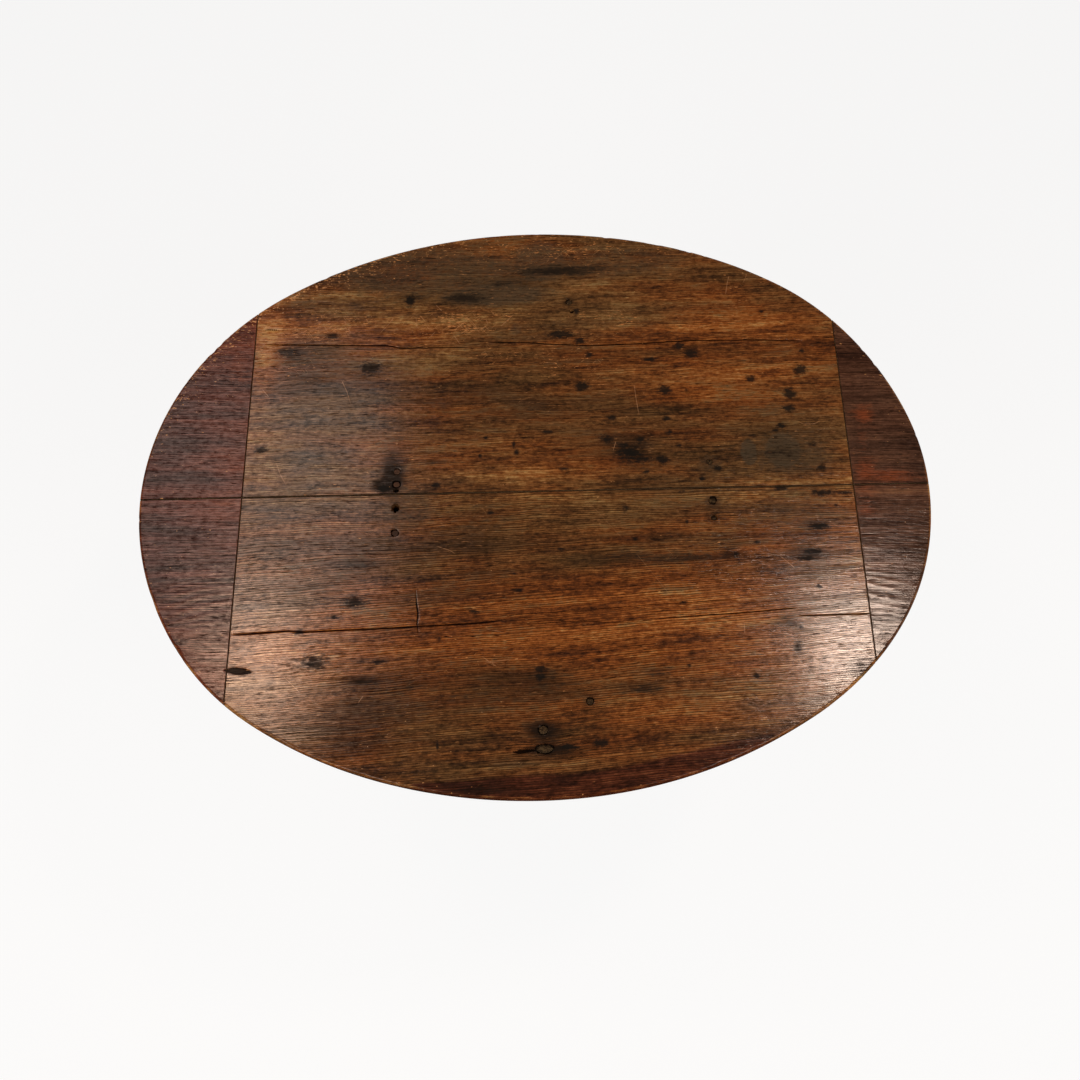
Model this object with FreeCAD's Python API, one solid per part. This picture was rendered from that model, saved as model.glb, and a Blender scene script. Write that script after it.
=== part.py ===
import FreeCAD, Part
import math
import os

# Oval tavern table. Two wide boards, lengthened at both ends, lie on a small frame with four turned legs
# that lean outwards to the left and right. Rails and box stretchers are tenoned and pegged into the legs.
# Millimetres. +X runs along the boards to the right, +Y to the rear, +Z up.
# The origin is on the floor, under the middle of the top.

# The whole table
table_height = 680.0
top_length = 864.0
top_width = 664.0
top_thickness = 20.0

# Outline and edge of the top: an oval struck from four centres, with its edges worn round.
# The radius of its end arcs falls this far short of half the top's width.
end_arc_shortfall = 37.0
upper_edge_round = 3.0
lower_edge_round = 3.0

# Seams of the top, with the lengths of the pieces at its two ends
left_end_length = 113.0
right_end_length = 84.0
centre_seam = -4.0
seam_gap = 0.8
tongue_length = 10.0
tongue_thickness = 6.5
tongue_edge_inset = 34.0
tongue_seam_inset = 16.0
tongue_slack = 0.5
dowel_diameter = 10.0
dowel_length = 60.0
board_dowel_count = 4

# Frame under the top, which stands a little right of the middle
frame_shift = 22.0
rail_span_x = 344.0
rail_span_y = 356.0
rail_height = 105.0
rail_thickness = 22.0
bead_width = 9.0
quirk_radius = 1.3
leg_lean = 8.0

# Legs: square stock with turned stretches
leg_size = 44.0
leg_reveal = 3.0
upper_block = 128.0
lower_block = 84.0
corner_spare = 2.0
shoulder_length = 10.0
shoulder_fullness = 0.72
shoulder_crown = 0.42
fillet_length = 3.5
ring_length = 9.5
reel_length = 24.0
ankle_length = 13.0
collar_radius = 15.0
ring_radius = 20.5
neck_radius = 11.0
neck_share = 0.13
belly_radius = 20.0
belly_share = 0.77
ankle_radius = 13.0
foot_radius = 21.0
sole_radius = 15.0

# Stretchers
stretcher_level = 118.0
stretcher_height = 42.0
stretcher_thickness = 22.0
stretcher_round = 5.0

# Tenons and their pegs
tenon_thickness = 8.0
tenon_tip_gap = 2.0
rail_tenon_shoulder = 12.0
stretcher_tenon_shoulder = 6.0
joint_peg_diameter = 7.0
joint_peg_taper = 0.8
joint_peg_length = 32.0
joint_peg_proud = 0.8
rail_peg_inset = 28.0
peg_stagger = 10.0

# Battens under the top
batten_bevel_length = 14.0
batten_tip_thickness = 7.0
cross_batten_place = 27.0
cross_batten_edge_inset = 32.0
cross_batten_width = 66.0
cross_batten_thickness = 18.0
end_batten_width = 56.0
end_batten_thickness = 14.0
end_batten_edge_inset = 30.0

# Pegs and nails through the top
top_peg_diameter = 8.4
top_peg_taper = 1.0
top_peg_depth = 32.0
top_peg_sink = 0.3
top_peg_rows = (23.0, 8.0, -49.0)
empty_hole_row = -20.0
empty_hole_diameter = 7.0
nail_head_diameter = 9.0
nail_head_height = 2.0
nail_shank = 4.0
nail_point = 1.4
nail_sink = 0.3
nail_pocket_clearance = 0.25
rail_nail_bite = 28.0
rail_nail_rows = (27.0, -19.0, -39.0)
batten_nail_cover = 4.0
rear_batten_nails = ((18.0, 65.0),)
front_batten_nails = ((27.0, 64.0), (-21.0, 36.0), (-20.0, 17.0))
end_nail_cover = 7.0
end_nail_seam_offset = 18.0
end_nail_middle_offset = 42.0
end_nail_tip_offset = 50.0

# Values that follow from the driving dimensions
underside = table_height - top_thickness
half_length = top_length / 2
half_width = top_width / 2
left_end_seam = left_end_length - half_length
right_end_seam = half_length - right_end_length
end_arc_radius = half_width - end_arc_shortfall
end_centre = half_length - end_arc_radius
side_arc_radius = (end_centre**2 + half_width**2 - end_arc_radius**2) / (2 * end_arc_shortfall)
side_centre = side_arc_radius - half_width
rail_to_leg_outside = rail_thickness / 2 + leg_reveal
rail_to_leg_inside = leg_size - rail_to_leg_outside
rail_to_leg_axis = leg_size / 2 - rail_to_leg_outside
leg_row = rail_span_y / 2 - rail_to_leg_axis
leg_inner_row = leg_row - leg_size / 2
leg_outer_row = leg_row + leg_size / 2
tenon_length = rail_to_leg_inside - tenon_thickness / 2 - tenon_tip_gap
cross_batten_tip = half_width - cross_batten_edge_inset
block_radius = leg_size / math.sqrt(2) + corner_spare
beyond = top_length + table_height


def box(x_low, x_high, y_low, y_high, z_low, z_high):
    corner = FreeCAD.Vector(x_low, y_low, z_low)
    return Part.makeBox(x_high - x_low, y_high - y_low, z_high - z_low, corner)


def turned_about_z(shape, degrees):
    copy = shape.copy()
    copy.rotate(FreeCAD.Vector(0, 0, 0), FreeCAD.Vector(0, 0, 1), degrees)
    return copy


def rail_line(side):
    # X of the left (-1) or right (+1) rail's centre line, at the underside of the top
    return frame_shift + side * rail_span_x / 2


def leaned(shape, side):
    # From an upright end frame, whose rail line is at X = 0 and whose top is at Z = 0, to its place
    copy = shape.copy()
    turn = FreeCAD.Rotation(FreeCAD.Vector(0, 1, 0), -side * leg_lean)
    place = FreeCAD.Placement(FreeCAD.Vector(rail_line(side), 0, underside), turn)
    copy.Placement = place.multiply(shape.Placement)
    return copy


def upright_height(level):
    # Z in the upright end frame, on its rail line, of what ends up at this level above the floor
    return (level - underside) / math.cos(math.radians(leg_lean))


def below_top(shape):
    return shape.common(box(-beyond, beyond, -beyond, beyond, 0, underside))


def past_leg_face(side, depth):
    # Everything outside a plane that lies this deep in the legs, measured from their inner faces
    start = depth - rail_to_leg_inside
    low, high = (start, beyond) if side > 0 else (-beyond, -start)
    return leaned(box(low, high, -beyond, beyond, -beyond, beyond), side)


# The oval top
def oval_half_width(x):
    joint = end_centre * (1 + end_arc_radius / math.hypot(end_centre, side_centre))
    if abs(x) > joint:
        return math.sqrt(end_arc_radius**2 - (abs(x) - end_centre) ** 2)
    return math.sqrt(side_arc_radius**2 - x**2) - side_centre


def oval_slab():
    reach = end_arc_radius / math.hypot(end_centre, side_centre)
    joint_x, joint_y = end_centre * (1 + reach), side_centre * reach
    stations = (
        (joint_x, -joint_y), (half_length, 0), (joint_x, joint_y), (0, half_width),
        (-joint_x, joint_y), (-half_length, 0), (-joint_x, -joint_y), (0, -half_width),
    )
    points = [FreeCAD.Vector(x, y, underside) for x, y in stations]
    arcs = [Part.Arc(points[i], points[i + 1], points[(i + 2) % 8]).toShape() for i in (0, 2, 4, 6)]
    slab = Part.Face(Part.Wire(arcs)).extrude(FreeCAD.Vector(0, 0, top_thickness))
    middle = underside + top_thickness / 2
    upper = [edge for edge in slab.Edges if edge.BoundBox.ZMin > middle]
    slab = slab.makeFillet(upper_edge_round, upper)
    lower = [edge for edge in slab.Edges if edge.BoundBox.ZMax < middle]
    return slab.makeFillet(lower_edge_round, lower)


def tongue(seam, outward, rear, slack=0.0):
    # The tongue on the end of a main board; with slack it is the groove that takes it
    shoulder = seam - outward * seam_gap / 2
    tip = shoulder + outward * tongue_length
    x_low, x_high = sorted((shoulder, tip + outward * slack))
    inner = centre_seam + rear * (tongue_seam_inset - slack)
    outer = rear * (oval_half_width(tip) - tongue_edge_inset + slack)
    y_low, y_high = sorted((inner, outer))
    middle = underside + top_thickness / 2
    return box(x_low, x_high, y_low, y_high, middle - tongue_thickness / 2, middle + tongue_thickness / 2)


def board(slab, x_low, x_high, rear):
    start = centre_seam + rear * seam_gap / 2
    y_low, y_high = (start, beyond) if rear > 0 else (-beyond, start)
    return slab.common(box(x_low + seam_gap / 2, x_high - seam_gap / 2, y_low, y_high, 0, beyond))


def top_boards():
    slab = oval_slab()
    boards = {}
    for name, rear in (("rear", 1), ("front", -1)):
        main = board(slab, left_end_seam, right_end_seam, rear)
        tongues = [tongue(left_end_seam, -1, rear), tongue(right_end_seam, 1, rear)]
        boards[name + "_top_board"] = main.fuse(tongues).removeSplitter()
        left = board(slab, -beyond, left_end_seam, rear)
        boards["left_" + name + "_end_piece"] = left.cut(tongue(left_end_seam, -1, rear, tongue_slack))
        right = board(slab, right_end_seam, beyond, rear)
        boards["right_" + name + "_end_piece"] = right.cut(tongue(right_end_seam, 1, rear, tongue_slack))
    return boards


def seam_dowels():
    pitch = (right_end_seam - left_end_seam) / board_dowel_count
    places = [left_end_seam + pitch * (i + 0.5) for i in range(board_dowel_count)]
    places.append((left_end_seam - half_length) / 2)
    places.append((right_end_seam + half_length) / 2)
    start = centre_seam - dowel_length / 2
    level = underside + top_thickness / 2
    along = FreeCAD.Vector(0, 1, 0)
    radius = dowel_diameter / 2
    return [Part.makeCylinder(radius, dowel_length, FreeCAD.Vector(x, start, level), along) for x in places]


# Battens
def batten(x_middle, width, length, thickness):
    # A flat bar along Y under the top, thinned towards both tips
    half = length / 2
    flat = half - batten_bevel_length
    low = underside - thickness
    tip = underside - batten_tip_thickness
    x = x_middle - width / 2
    corners = (
        (-half, underside), (half, underside), (half, tip), (flat, low),
        (-flat, low), (-half, tip), (-half, underside),
    )
    outline = Part.makePolygon([FreeCAD.Vector(x, y, z) for y, z in corners])
    return Part.Face(outline).extrude(FreeCAD.Vector(width, 0, 0))


def end_batten_half_length(seam):
    return oval_half_width(abs(seam) + end_batten_width / 2) - end_batten_edge_inset


# Nails and pegs
def shank(x, y, head_level, length, down):
    # A square bar that tapers to its blunt point
    rings = []
    for level, size in ((head_level, nail_shank), (head_level + down * length, nail_point)):
        half = size / 2
        corners = ((-half, -half), (half, -half), (half, half), (-half, half))
        rings.append([FreeCAD.Vector(x + dx, y + dy, level) for dx, dy in corners])
    outlines = [rings[0], rings[1]]
    for i in range(4):
        j = (i + 1) % 4
        outlines.append([rings[0][i], rings[0][j], rings[1][j], rings[1][i]])
    faces = [Part.Face(Part.makePolygon(outline + outline[:1])) for outline in outlines]
    return Part.Solid(Part.Shell(faces))


def nail(x, y, head_level, length, down):
    # A wrought nail: a low cone for its head on a tapering shank
    head = Part.makeCone(nail_shank / 2, nail_head_diameter / 2, nail_head_height,
                         FreeCAD.Vector(x, y, head_level), FreeCAD.Vector(0, 0, down))
    return head.fuse(shank(x, y, head_level + down * nail_head_height, length - nail_head_height, down))


def nail_room(x, y, head_level, surface, length, down):
    # What the nail takes out of the wood: the sunk pocket of its head and the hole of its shank
    seat = head_level + down * nail_head_height
    pocket = Part.makeCylinder(nail_head_diameter / 2 + nail_pocket_clearance, abs(seat - surface),
                               FreeCAD.Vector(x, y, surface), FreeCAD.Vector(0, 0, down))
    return pocket.fuse(nail(x, y, head_level, length, down))


def batten_nail_places():
    # Each nail is given by its offset from the batten's middle line and its distance from the batten's tip
    places = []
    for rear, nails in ((1, rear_batten_nails), (-1, front_batten_nails)):
        for offset, from_tip in nails:
            places.append((cross_batten_place + offset, rear * (cross_batten_tip - from_tip)))
    return places


def top_nails(places, length):
    level = table_height - nail_sink
    nails = [nail(x, y, level, length, -1) for x, y in places]
    rooms = [nail_room(x, y, level, table_height, length, -1) for x, y in places]
    return nails, rooms


def end_batten_nails(seam):
    surface = underside - end_batten_thickness
    level = surface + nail_sink
    tip = end_batten_half_length(seam) - end_nail_tip_offset
    places = []
    for x in (seam - end_nail_seam_offset, seam + end_nail_seam_offset):
        for y in (-tip, centre_seam - end_nail_middle_offset, centre_seam + end_nail_middle_offset, tip):
            places.append((x, y))
    length = end_batten_thickness + top_thickness - end_nail_cover
    nails = [nail(x, y, level, length, 1) for x, y in places]
    rooms = [nail_room(x, y, level, surface, length, 1) for x, y in places]
    return nails, rooms


def top_pegs():
    tip_radius = (top_peg_diameter - top_peg_taper) / 2
    length = top_thickness + top_peg_depth
    start = table_height - top_peg_sink
    down = FreeCAD.Vector(0, 0, -1)
    pegs = []
    for y in top_peg_rows:
        place = FreeCAD.Vector(rail_line(-1), y, start)
        pegs.append(Part.makeCone(top_peg_diameter / 2, tip_radius, length, place, down))
    return pegs


def top_peg_holes():
    down = FreeCAD.Vector(0, 0, -1)
    mouths = []
    for y in top_peg_rows:
        place = FreeCAD.Vector(rail_line(-1), y, table_height)
        mouths.append(Part.makeCylinder(top_peg_diameter / 2, top_peg_sink, place, down))
    place = FreeCAD.Vector(rail_line(-1), empty_hole_row, table_height)
    empty = Part.makeCylinder(empty_hole_diameter / 2, top_thickness + top_peg_depth, place, down)
    return mouths + [empty] + top_pegs()


# Legs
def leg_outline():
    # Half section of the turning, from the top down, in an upright frame with the top at Z = 0
    edges = []
    spot = [FreeCAD.Vector(block_radius, 0, leg_size)]

    def straight(radius, z):
        end = FreeCAD.Vector(radius, 0, z)
        if end.distanceToPoint(spot[0]) > 1e-6:
            edges.append(Part.makeLine(spot[0], end))
        spot[0] = end

    def bulge(mid_radius, end_radius, length, mid_share=0.5):
        start = spot[0]
        middle = FreeCAD.Vector(mid_radius, 0, start.z - length * mid_share)
        end = FreeCAD.Vector(end_radius, 0, start.z - length)
        edges.append(Part.Arc(start, middle, end).toShape())
        spot[0] = end

    def ring():
        straight(collar_radius, spot[0].z - fillet_length)
        bulge(ring_radius, collar_radius, ring_length)
        straight(collar_radius, spot[0].z - fillet_length)

    def shoulder_in():
        # The square corners are turned away in a convex sweep
        sweep = block_radius - collar_radius
        bulge(collar_radius + sweep * shoulder_fullness, collar_radius, shoulder_length, shoulder_crown)

    def shoulder_out():
        sweep = block_radius - collar_radius
        bulge(collar_radius + sweep * shoulder_fullness, block_radius, shoulder_length, 1 - shoulder_crown)

    def vase(end_z):
        start = spot[0]
        drop = end_z - start.z
        half_swelled = (neck_radius + belly_radius) / 2
        swell_share = (neck_share + belly_share) / 2
        stations = ((neck_share, neck_radius), (swell_share, half_swelled), (belly_share, belly_radius))
        points = [start] + [FreeCAD.Vector(r, 0, start.z + drop * share) for share, r in stations]
        points.append(FreeCAD.Vector(ankle_radius, 0, end_z))
        curve = Part.BSplineCurve()
        curve.interpolate(points)
        edges.append(curve.toShape())
        spot[0] = points[-1]

    ring_stack = ring_length + 2 * fillet_length
    lower_middle = upright_height(stretcher_level)
    lower_top = lower_middle + lower_block / 2
    floor = upright_height(0)
    straight(block_radius, -upper_block)
    shoulder_in()
    ring()
    vase(lower_top + shoulder_length + 2 * ring_stack + reel_length)
    straight(collar_radius, spot[0].z)
    ring()
    bulge(neck_radius, collar_radius, reel_length)
    ring()
    shoulder_out()
    straight(block_radius, lower_top - lower_block)
    shoulder_in()
    straight(collar_radius, spot[0].z - fillet_length)
    bulge(ankle_radius, collar_radius, ankle_length)
    bulge(foot_radius, sole_radius, spot[0].z - floor)
    straight(sole_radius, floor - leg_size)
    straight(0, floor - leg_size)
    straight(0, leg_size)
    straight(block_radius, leg_size)
    return Part.Wire(edges)


def leg_stock():
    axis = FreeCAD.Vector(0, 0, 1)
    turning = Part.Face(leg_outline()).revolve(FreeCAD.Vector(0, 0, 0), axis, 360)
    half = leg_size / 2
    return turning.common(box(-half, half, -half, half, -beyond, beyond))


def leg(stock, side, rear):
    upright = stock.copy()
    upright.translate(FreeCAD.Vector(-side * rail_to_leg_axis, rear * leg_row, 0))
    return below_top(leaned(upright, side))


# Rails and stretchers
def rail_bar(length):
    # Along Y, with its outer face towards +X and a bead worked along the lower edge of that face
    face = rail_thickness / 2
    low = -rail_height
    quirk = low + bead_width
    nose = bead_width / 2
    crown = nose * (1 - math.sqrt(0.5))
    corners = (
        (face - nose, low), (face - crown, low + crown), (face, low + nose),
        (face, quirk - quirk_radius), (face - quirk_radius, quirk), (face, quirk + quirk_radius),
        (face, leg_size), (-face, leg_size), (-face, low),
    )
    spots = [FreeCAD.Vector(x, -length / 2, z) for x, z in corners]
    edges = [
        Part.Arc(spots[0], spots[1], spots[2]).toShape(),
        Part.makeLine(spots[2], spots[3]),
        Part.Arc(spots[3], spots[4], spots[5]).toShape(),
        Part.makeLine(spots[5], spots[6]),
        Part.makeLine(spots[6], spots[7]),
        Part.makeLine(spots[7], spots[8]),
        Part.makeLine(spots[8], spots[0]),
    ]
    return Part.Face(Part.Wire(edges)).extrude(FreeCAD.Vector(0, length, 0))


def stretcher_bar(length):
    # Along Y, centred on its axis, with its two upper edges worn round
    face = stretcher_thickness / 2
    half = stretcher_height / 2
    bar = box(-face, face, -length / 2, length / 2, -half, half)
    upper = []
    for edge in bar.Edges:
        if edge.BoundBox.ZMin > 0 and edge.BoundBox.YLength > length / 2:
            upper.append(edge)
    return bar.makeFillet(stretcher_round, upper)


def tenon_bar(length, z_low, z_high):
    return box(-tenon_thickness / 2, tenon_thickness / 2, -length / 2, length / 2, z_low, z_high)


def end_member(bar, tenon, z, side):
    # A rail or stretcher of the left or right end frame
    shape = turned_about_z(bar, 0 if side > 0 else 180).fuse(tenon).removeSplitter()
    shape.translate(FreeCAD.Vector(0, 0, z))
    return below_top(leaned(shape, side))


def long_member(bar, tenon, level, rear):
    # A rail or stretcher of the front or rear, with its shoulders cut to the leaning legs
    place = FreeCAD.Vector(frame_shift, rear * rail_span_y / 2, level)
    pieces = []
    for shape, depth in ((bar, 0), (tenon, tenon_length)):
        across = turned_about_z(shape, 90 * rear)
        across.translate(place)
        pieces.append(across.cut([past_leg_face(-1, depth), past_leg_face(1, depth)]))
    return below_top(pieces[0].fuse(pieces[1]).removeSplitter())


def frame_members():
    inside = 2 * leg_inner_row
    through = inside + 2 * tenon_length
    rail_tenon = (rail_tenon_shoulder - rail_height, -rail_tenon_shoulder)
    half_tenon = stretcher_height / 2 - stretcher_tenon_shoulder
    stretcher_tenon = (-half_tenon, half_tenon)
    members = {}
    for name, side in (("left", -1), ("right", 1)):
        level = upright_height(stretcher_level)
        members[name + "_rail"] = end_member(rail_bar(inside), tenon_bar(through, *rail_tenon), 0, side)
        members[name + "_stretcher"] = end_member(
            stretcher_bar(inside), tenon_bar(through, *stretcher_tenon), level, side)
    for name, rear in (("front", -1), ("rear", 1)):
        members[name + "_rail"] = long_member(
            rail_bar(beyond), tenon_bar(beyond, *rail_tenon), underside, rear)
        members[name + "_stretcher"] = long_member(
            stretcher_bar(beyond), tenon_bar(beyond, *stretcher_tenon), stretcher_level, rear)
    return members


def joint_peg(place, direction):
    return Part.makeCone(joint_peg_diameter / 2, (joint_peg_diameter - joint_peg_taper) / 2,
                         joint_peg_length + joint_peg_proud, place, direction)


def joint_pegs(side, rear, heights):
    # Pegs of one leg: from its outer side through the end tenon, from its face through the long tenon
    pegs = []
    end_row = rear * (leg_inner_row + tenon_length / 2)
    long_x = side * (tenon_length / 2 - rail_to_leg_inside)
    for height in heights:
        outside = side * (rail_to_leg_outside + joint_peg_proud)
        start = FreeCAD.Vector(outside, end_row, height + peg_stagger / 2)
        pegs.append(leaned(joint_peg(start, FreeCAD.Vector(-side, 0, 0)), side))
        outside = rear * (leg_outer_row + joint_peg_proud)
        start = FreeCAD.Vector(long_x, outside, height - peg_stagger / 2)
        pegs.append(leaned(joint_peg(start, FreeCAD.Vector(0, -rear, 0)), side))
    return pegs


def main():
    parts = top_boards()
    parts.update(frame_members())

    legs = {}
    stock = leg_stock()
    rail_pegs, stretcher_pegs = [], []
    for row_name, rear in (("front", -1), ("rear", 1)):
        for side_name, side in (("left", -1), ("right", 1)):
            rail_heights = (-rail_peg_inset, rail_peg_inset - rail_height)
            own_rail_pegs = joint_pegs(side, rear, rail_heights)
            own_stretcher_pegs = joint_pegs(side, rear, (upright_height(stretcher_level),))
            rail_pegs += own_rail_pegs
            stretcher_pegs += own_stretcher_pegs
            members = [place + kind for kind in ("_rail", "_stretcher") for place in (row_name, side_name)]
            pegs = own_rail_pegs + own_stretcher_pegs
            legs[row_name + "_" + side_name + "_leg"] = leg(stock, side, rear).cut(
                [parts[member] for member in members] + pegs)
            for member in members:
                parts[member] = parts[member].cut(pegs)
    parts.update(legs)

    cross = batten(cross_batten_place, cross_batten_width, 2 * cross_batten_tip, cross_batten_thickness)
    for name in ("front_rail", "rear_rail"):
        parts[name] = parts[name].cut(cross)

    dowels = seam_dowels()
    peg_holes = top_peg_holes()
    rail_nail_length = top_thickness + rail_nail_bite
    rail_nails, rail_nail_rooms = top_nails([(rail_line(1), y) for y in rail_nail_rows], rail_nail_length)
    batten_nail_length = top_thickness + cross_batten_thickness - batten_nail_cover
    batten_nails, batten_nail_rooms = top_nails(batten_nail_places(), batten_nail_length)
    parts["left_rail"] = parts["left_rail"].cut(peg_holes)
    parts["right_rail"] = parts["right_rail"].cut(rail_nail_rooms)
    parts["cross_batten"] = cross.cut(batten_nail_rooms)

    end_nails, end_nail_rooms = [], []
    for name, seam in (("left", left_end_seam), ("right", right_end_seam)):
        nails, rooms = end_batten_nails(seam)
        plain = batten(seam, end_batten_width, 2 * end_batten_half_length(seam), end_batten_thickness)
        parts[name + "_end_batten"] = plain.cut(rooms)
        end_nails += nails
        end_nail_rooms += rooms

    fastenings = dowels + peg_holes + rail_nail_rooms + batten_nail_rooms + end_nail_rooms
    for row in ("rear", "front"):
        for name in (row + "_top_board", "left_" + row + "_end_piece", "right_" + row + "_end_piece"):
            parts[name] = parts[name].cut(fastenings)

    parts["seam_dowels"] = Part.makeCompound(dowels)
    parts["top_pegs"] = Part.makeCompound(top_pegs())
    parts["rail_nails"] = Part.makeCompound(rail_nails)
    parts["batten_top_nails"] = Part.makeCompound(batten_nails)
    parts["end_batten_nails"] = Part.makeCompound(end_nails)
    parts["rail_pegs"] = Part.makeCompound(rail_pegs)
    parts["stretcher_pegs"] = Part.makeCompound(stretcher_pegs)

    os.makedirs("parts", exist_ok=True)
    for name, shape in sorted(parts.items()):
        shape.exportStep("parts/" + name + ".step")
        print(name, len(shape.Solids), "solids", round(shape.Volume / 1000, 2), "cm3", shape.isValid())


main()
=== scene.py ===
"""The looks of an old oval tavern table: a worn, stained pine top on a turned maple base."""

import math

import bmesh
import bpy
import numpy as np
from mathutils import Matrix


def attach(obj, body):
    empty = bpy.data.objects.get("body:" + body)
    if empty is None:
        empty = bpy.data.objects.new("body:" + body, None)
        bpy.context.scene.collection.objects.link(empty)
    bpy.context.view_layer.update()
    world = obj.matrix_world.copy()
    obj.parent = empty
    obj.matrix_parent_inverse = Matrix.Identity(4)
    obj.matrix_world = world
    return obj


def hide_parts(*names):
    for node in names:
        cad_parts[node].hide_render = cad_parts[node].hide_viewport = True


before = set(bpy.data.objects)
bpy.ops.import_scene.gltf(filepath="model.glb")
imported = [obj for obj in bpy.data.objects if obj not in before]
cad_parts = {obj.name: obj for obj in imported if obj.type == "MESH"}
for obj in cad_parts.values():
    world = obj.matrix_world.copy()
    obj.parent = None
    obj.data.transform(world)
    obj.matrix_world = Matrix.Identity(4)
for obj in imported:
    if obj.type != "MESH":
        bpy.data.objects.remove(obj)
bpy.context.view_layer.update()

# Sizes of the table, in millimetres, as the solids have them
table_height = 680.0
top_length = 864.0
top_width = 664.0
top_thickness = 20.0
end_arc_shortfall = 37.0
upper_edge_round = 3.0
lower_edge_round = 3.0
left_end_length = 113.0
right_end_length = 84.0
centre_seam = -4.0
seam_gap = 0.8
seam_arris = 0.5

# Fasteners that show in the top: place along and across, size along and across, how far they have sunk,
# and how dark the painted shade in the gap round each is
peg_length = 32.0
peg_row = -150.0
top_pegs = (
    (peg_row, 23.0, 6.4, 6.2, 0.35, 0.55), (peg_row, 8.0, 7.2, 6.4, 0.9, 0.85),
    (peg_row, -49.0, 6.6, 6.6, 0.9, 0.8),
)
nail_length = 20.0
nail_row = 194.0
rail_nails = (
    (nail_row, 27.0, 6.4, 6.0, 0.8, 0.5), (nail_row, -19.0, 7.6, 7.2, 0.7, 0.75),
    (nail_row, -39.0, 6.0, 5.6, 0.9, 0.55),
)
batten_nails = (
    (45.0, 235.0, 6.6, 6.2, 0.7, 0.65), (54.0, -236.0, 6.8, 6.4, 0.4, 0.7),
    (6.0, -264.0, 9.0, 8.4, 0.35, 0.7), (7.0, -283.0, 17.0, 8.6, 0.35, 0.75),
)
fasteners = top_pegs + rail_nails + batten_nails

# Open holes: place along and across, size along and across, and depth
open_holes = ((-150.6, -20.0, 8.6, 8.6, 17.0), (-150.2, 0.4, 6.0, 4.6, 4.0), (48.0, 222.0, 5.0, 4.0, 2.2))

# The camera, as worked out from the outline of the top in the photograph
picture_side = 1080.0
focal_pixels = 1050.0
sensor_width = 36.0
camera_place = (16.6, -449.7, table_height + 1055.7)
camera_pitch = math.radians(69.767)
camera_roll = math.radians(-2.659)
camera_yaw = math.radians(-1.540)

# Sizes are in millimetres, and the scene is in metres
millimetre = 0.001
metre = 1000.0

# Numbers that the sizes give
half_length = top_length / 2
half_width = top_width / 2
left_seam = left_end_length - half_length
right_seam = half_length - right_end_length
end_radius = half_width - end_arc_shortfall
end_centre = half_length - end_radius
side_radius = (end_centre**2 + half_width**2 - end_radius**2) / (2 * end_arc_shortfall)
side_drop = side_radius - half_width
underside = table_height - top_thickness


def camera_axes():
    """The camera's right, up and forward directions."""
    forward = np.array([
        math.sin(camera_yaw) * math.cos(camera_pitch),
        math.cos(camera_yaw) * math.cos(camera_pitch),
        -math.sin(camera_pitch),
    ])
    level = np.array([math.cos(camera_yaw), -math.sin(camera_yaw), 0.0])
    upright = np.cross(level, forward)
    right = math.cos(camera_roll) * level + math.sin(camera_roll) * upright
    up = math.cos(camera_roll) * upright - math.sin(camera_roll) * level
    return right, up, forward


def on_top(across, down):
    """The place on the table's face, in millimetres, that a pixel of the photograph shows."""
    right, up, forward = camera_axes()
    ray = forward + (across - picture_side / 2) / focal_pixels * right
    ray = ray - (down - picture_side / 2) / focal_pixels * up
    reach = (table_height - camera_place[2]) / ray[2]
    return camera_place[0] + reach * ray[0], camera_place[1] + reach * ray[1]


# The shape of the oval

def from_oval(x, y):
    """How far a place lies inside the drawn oval, and the outward direction there."""
    ax, ay = np.abs(x), np.abs(y)
    at_end = (ax - end_centre) * side_drop > ay * end_centre
    dx = np.where(at_end, ax - end_centre, ax)
    dy = np.where(at_end, ay, ay + side_drop)
    reach = np.hypot(dx, dy)
    inside = np.where(at_end, end_radius, side_radius) - reach
    return inside, dx / reach * np.sign(x), dy / reach * np.sign(y)


# How far inside the drawn oval the edge was sawn, in millimetres, and the hand's departures from that:
# degrees round the oval, millimetres outward, degrees wide
sawn_margin = 0.25
hand_cut = (
    (-120.0, 2.0, 18.0), (-41.0, -3.4, 20.0), (-5.0, -1.0, 14.0), (24.0, -2.9, 16.0),
    (58.0, 2.8, 17.0), (142.0, -1.8, 16.0), (-158.0, -1.5, 15.0),
)


def swell_round(x, y, middle, width):
    """A swell from 0 to 1 about one direction from the middle of the oval, both given in degrees."""
    angle = np.degrees(np.arctan2(y / half_width, x / half_length))
    turn = (angle - middle + 180.0) % 360.0 - 180.0
    return np.exp(-((turn / width) ** 2))


def sawn_departure(x, y):
    """How far the sawn edge stands outside the drawn oval in the direction of a place."""
    total = np.full_like(x, -sawn_margin)
    for middle, height, width in hand_cut:
        total += height * swell_round(x, y, middle, width)
    return total


def rim_across(x, side):
    """Where the sawn rim lies across the table at x, on the rear side (+1) or the front side (-1)."""
    away = np.abs(x)
    end = np.sqrt(np.maximum(end_radius**2 - (away - end_centre) ** 2, 0.0))
    long_side = np.sqrt(side_radius**2 - x**2) - side_drop
    drawn = side * np.where((away - end_centre) * side_drop > end * end_centre, end, long_side)
    return drawn + side * sawn_departure(x, drawn) / np.abs(from_oval(x, drawn)[2])


def rim_along(y, end):
    """Where the sawn rim lies along the table at y, at the right end (+1) or the left end (-1)."""
    away = np.abs(y)
    round_end = end_centre + np.sqrt(np.maximum(end_radius**2 - y**2, 0.0))
    long_side = np.sqrt(np.maximum(side_radius**2 - (away + side_drop) ** 2, 0.0))
    drawn = end * np.where((round_end - end_centre) * side_drop > away * end_centre, round_end, long_side)
    return drawn + end * sawn_departure(drawn, y) / np.abs(from_oval(drawn, y)[1])


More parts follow.
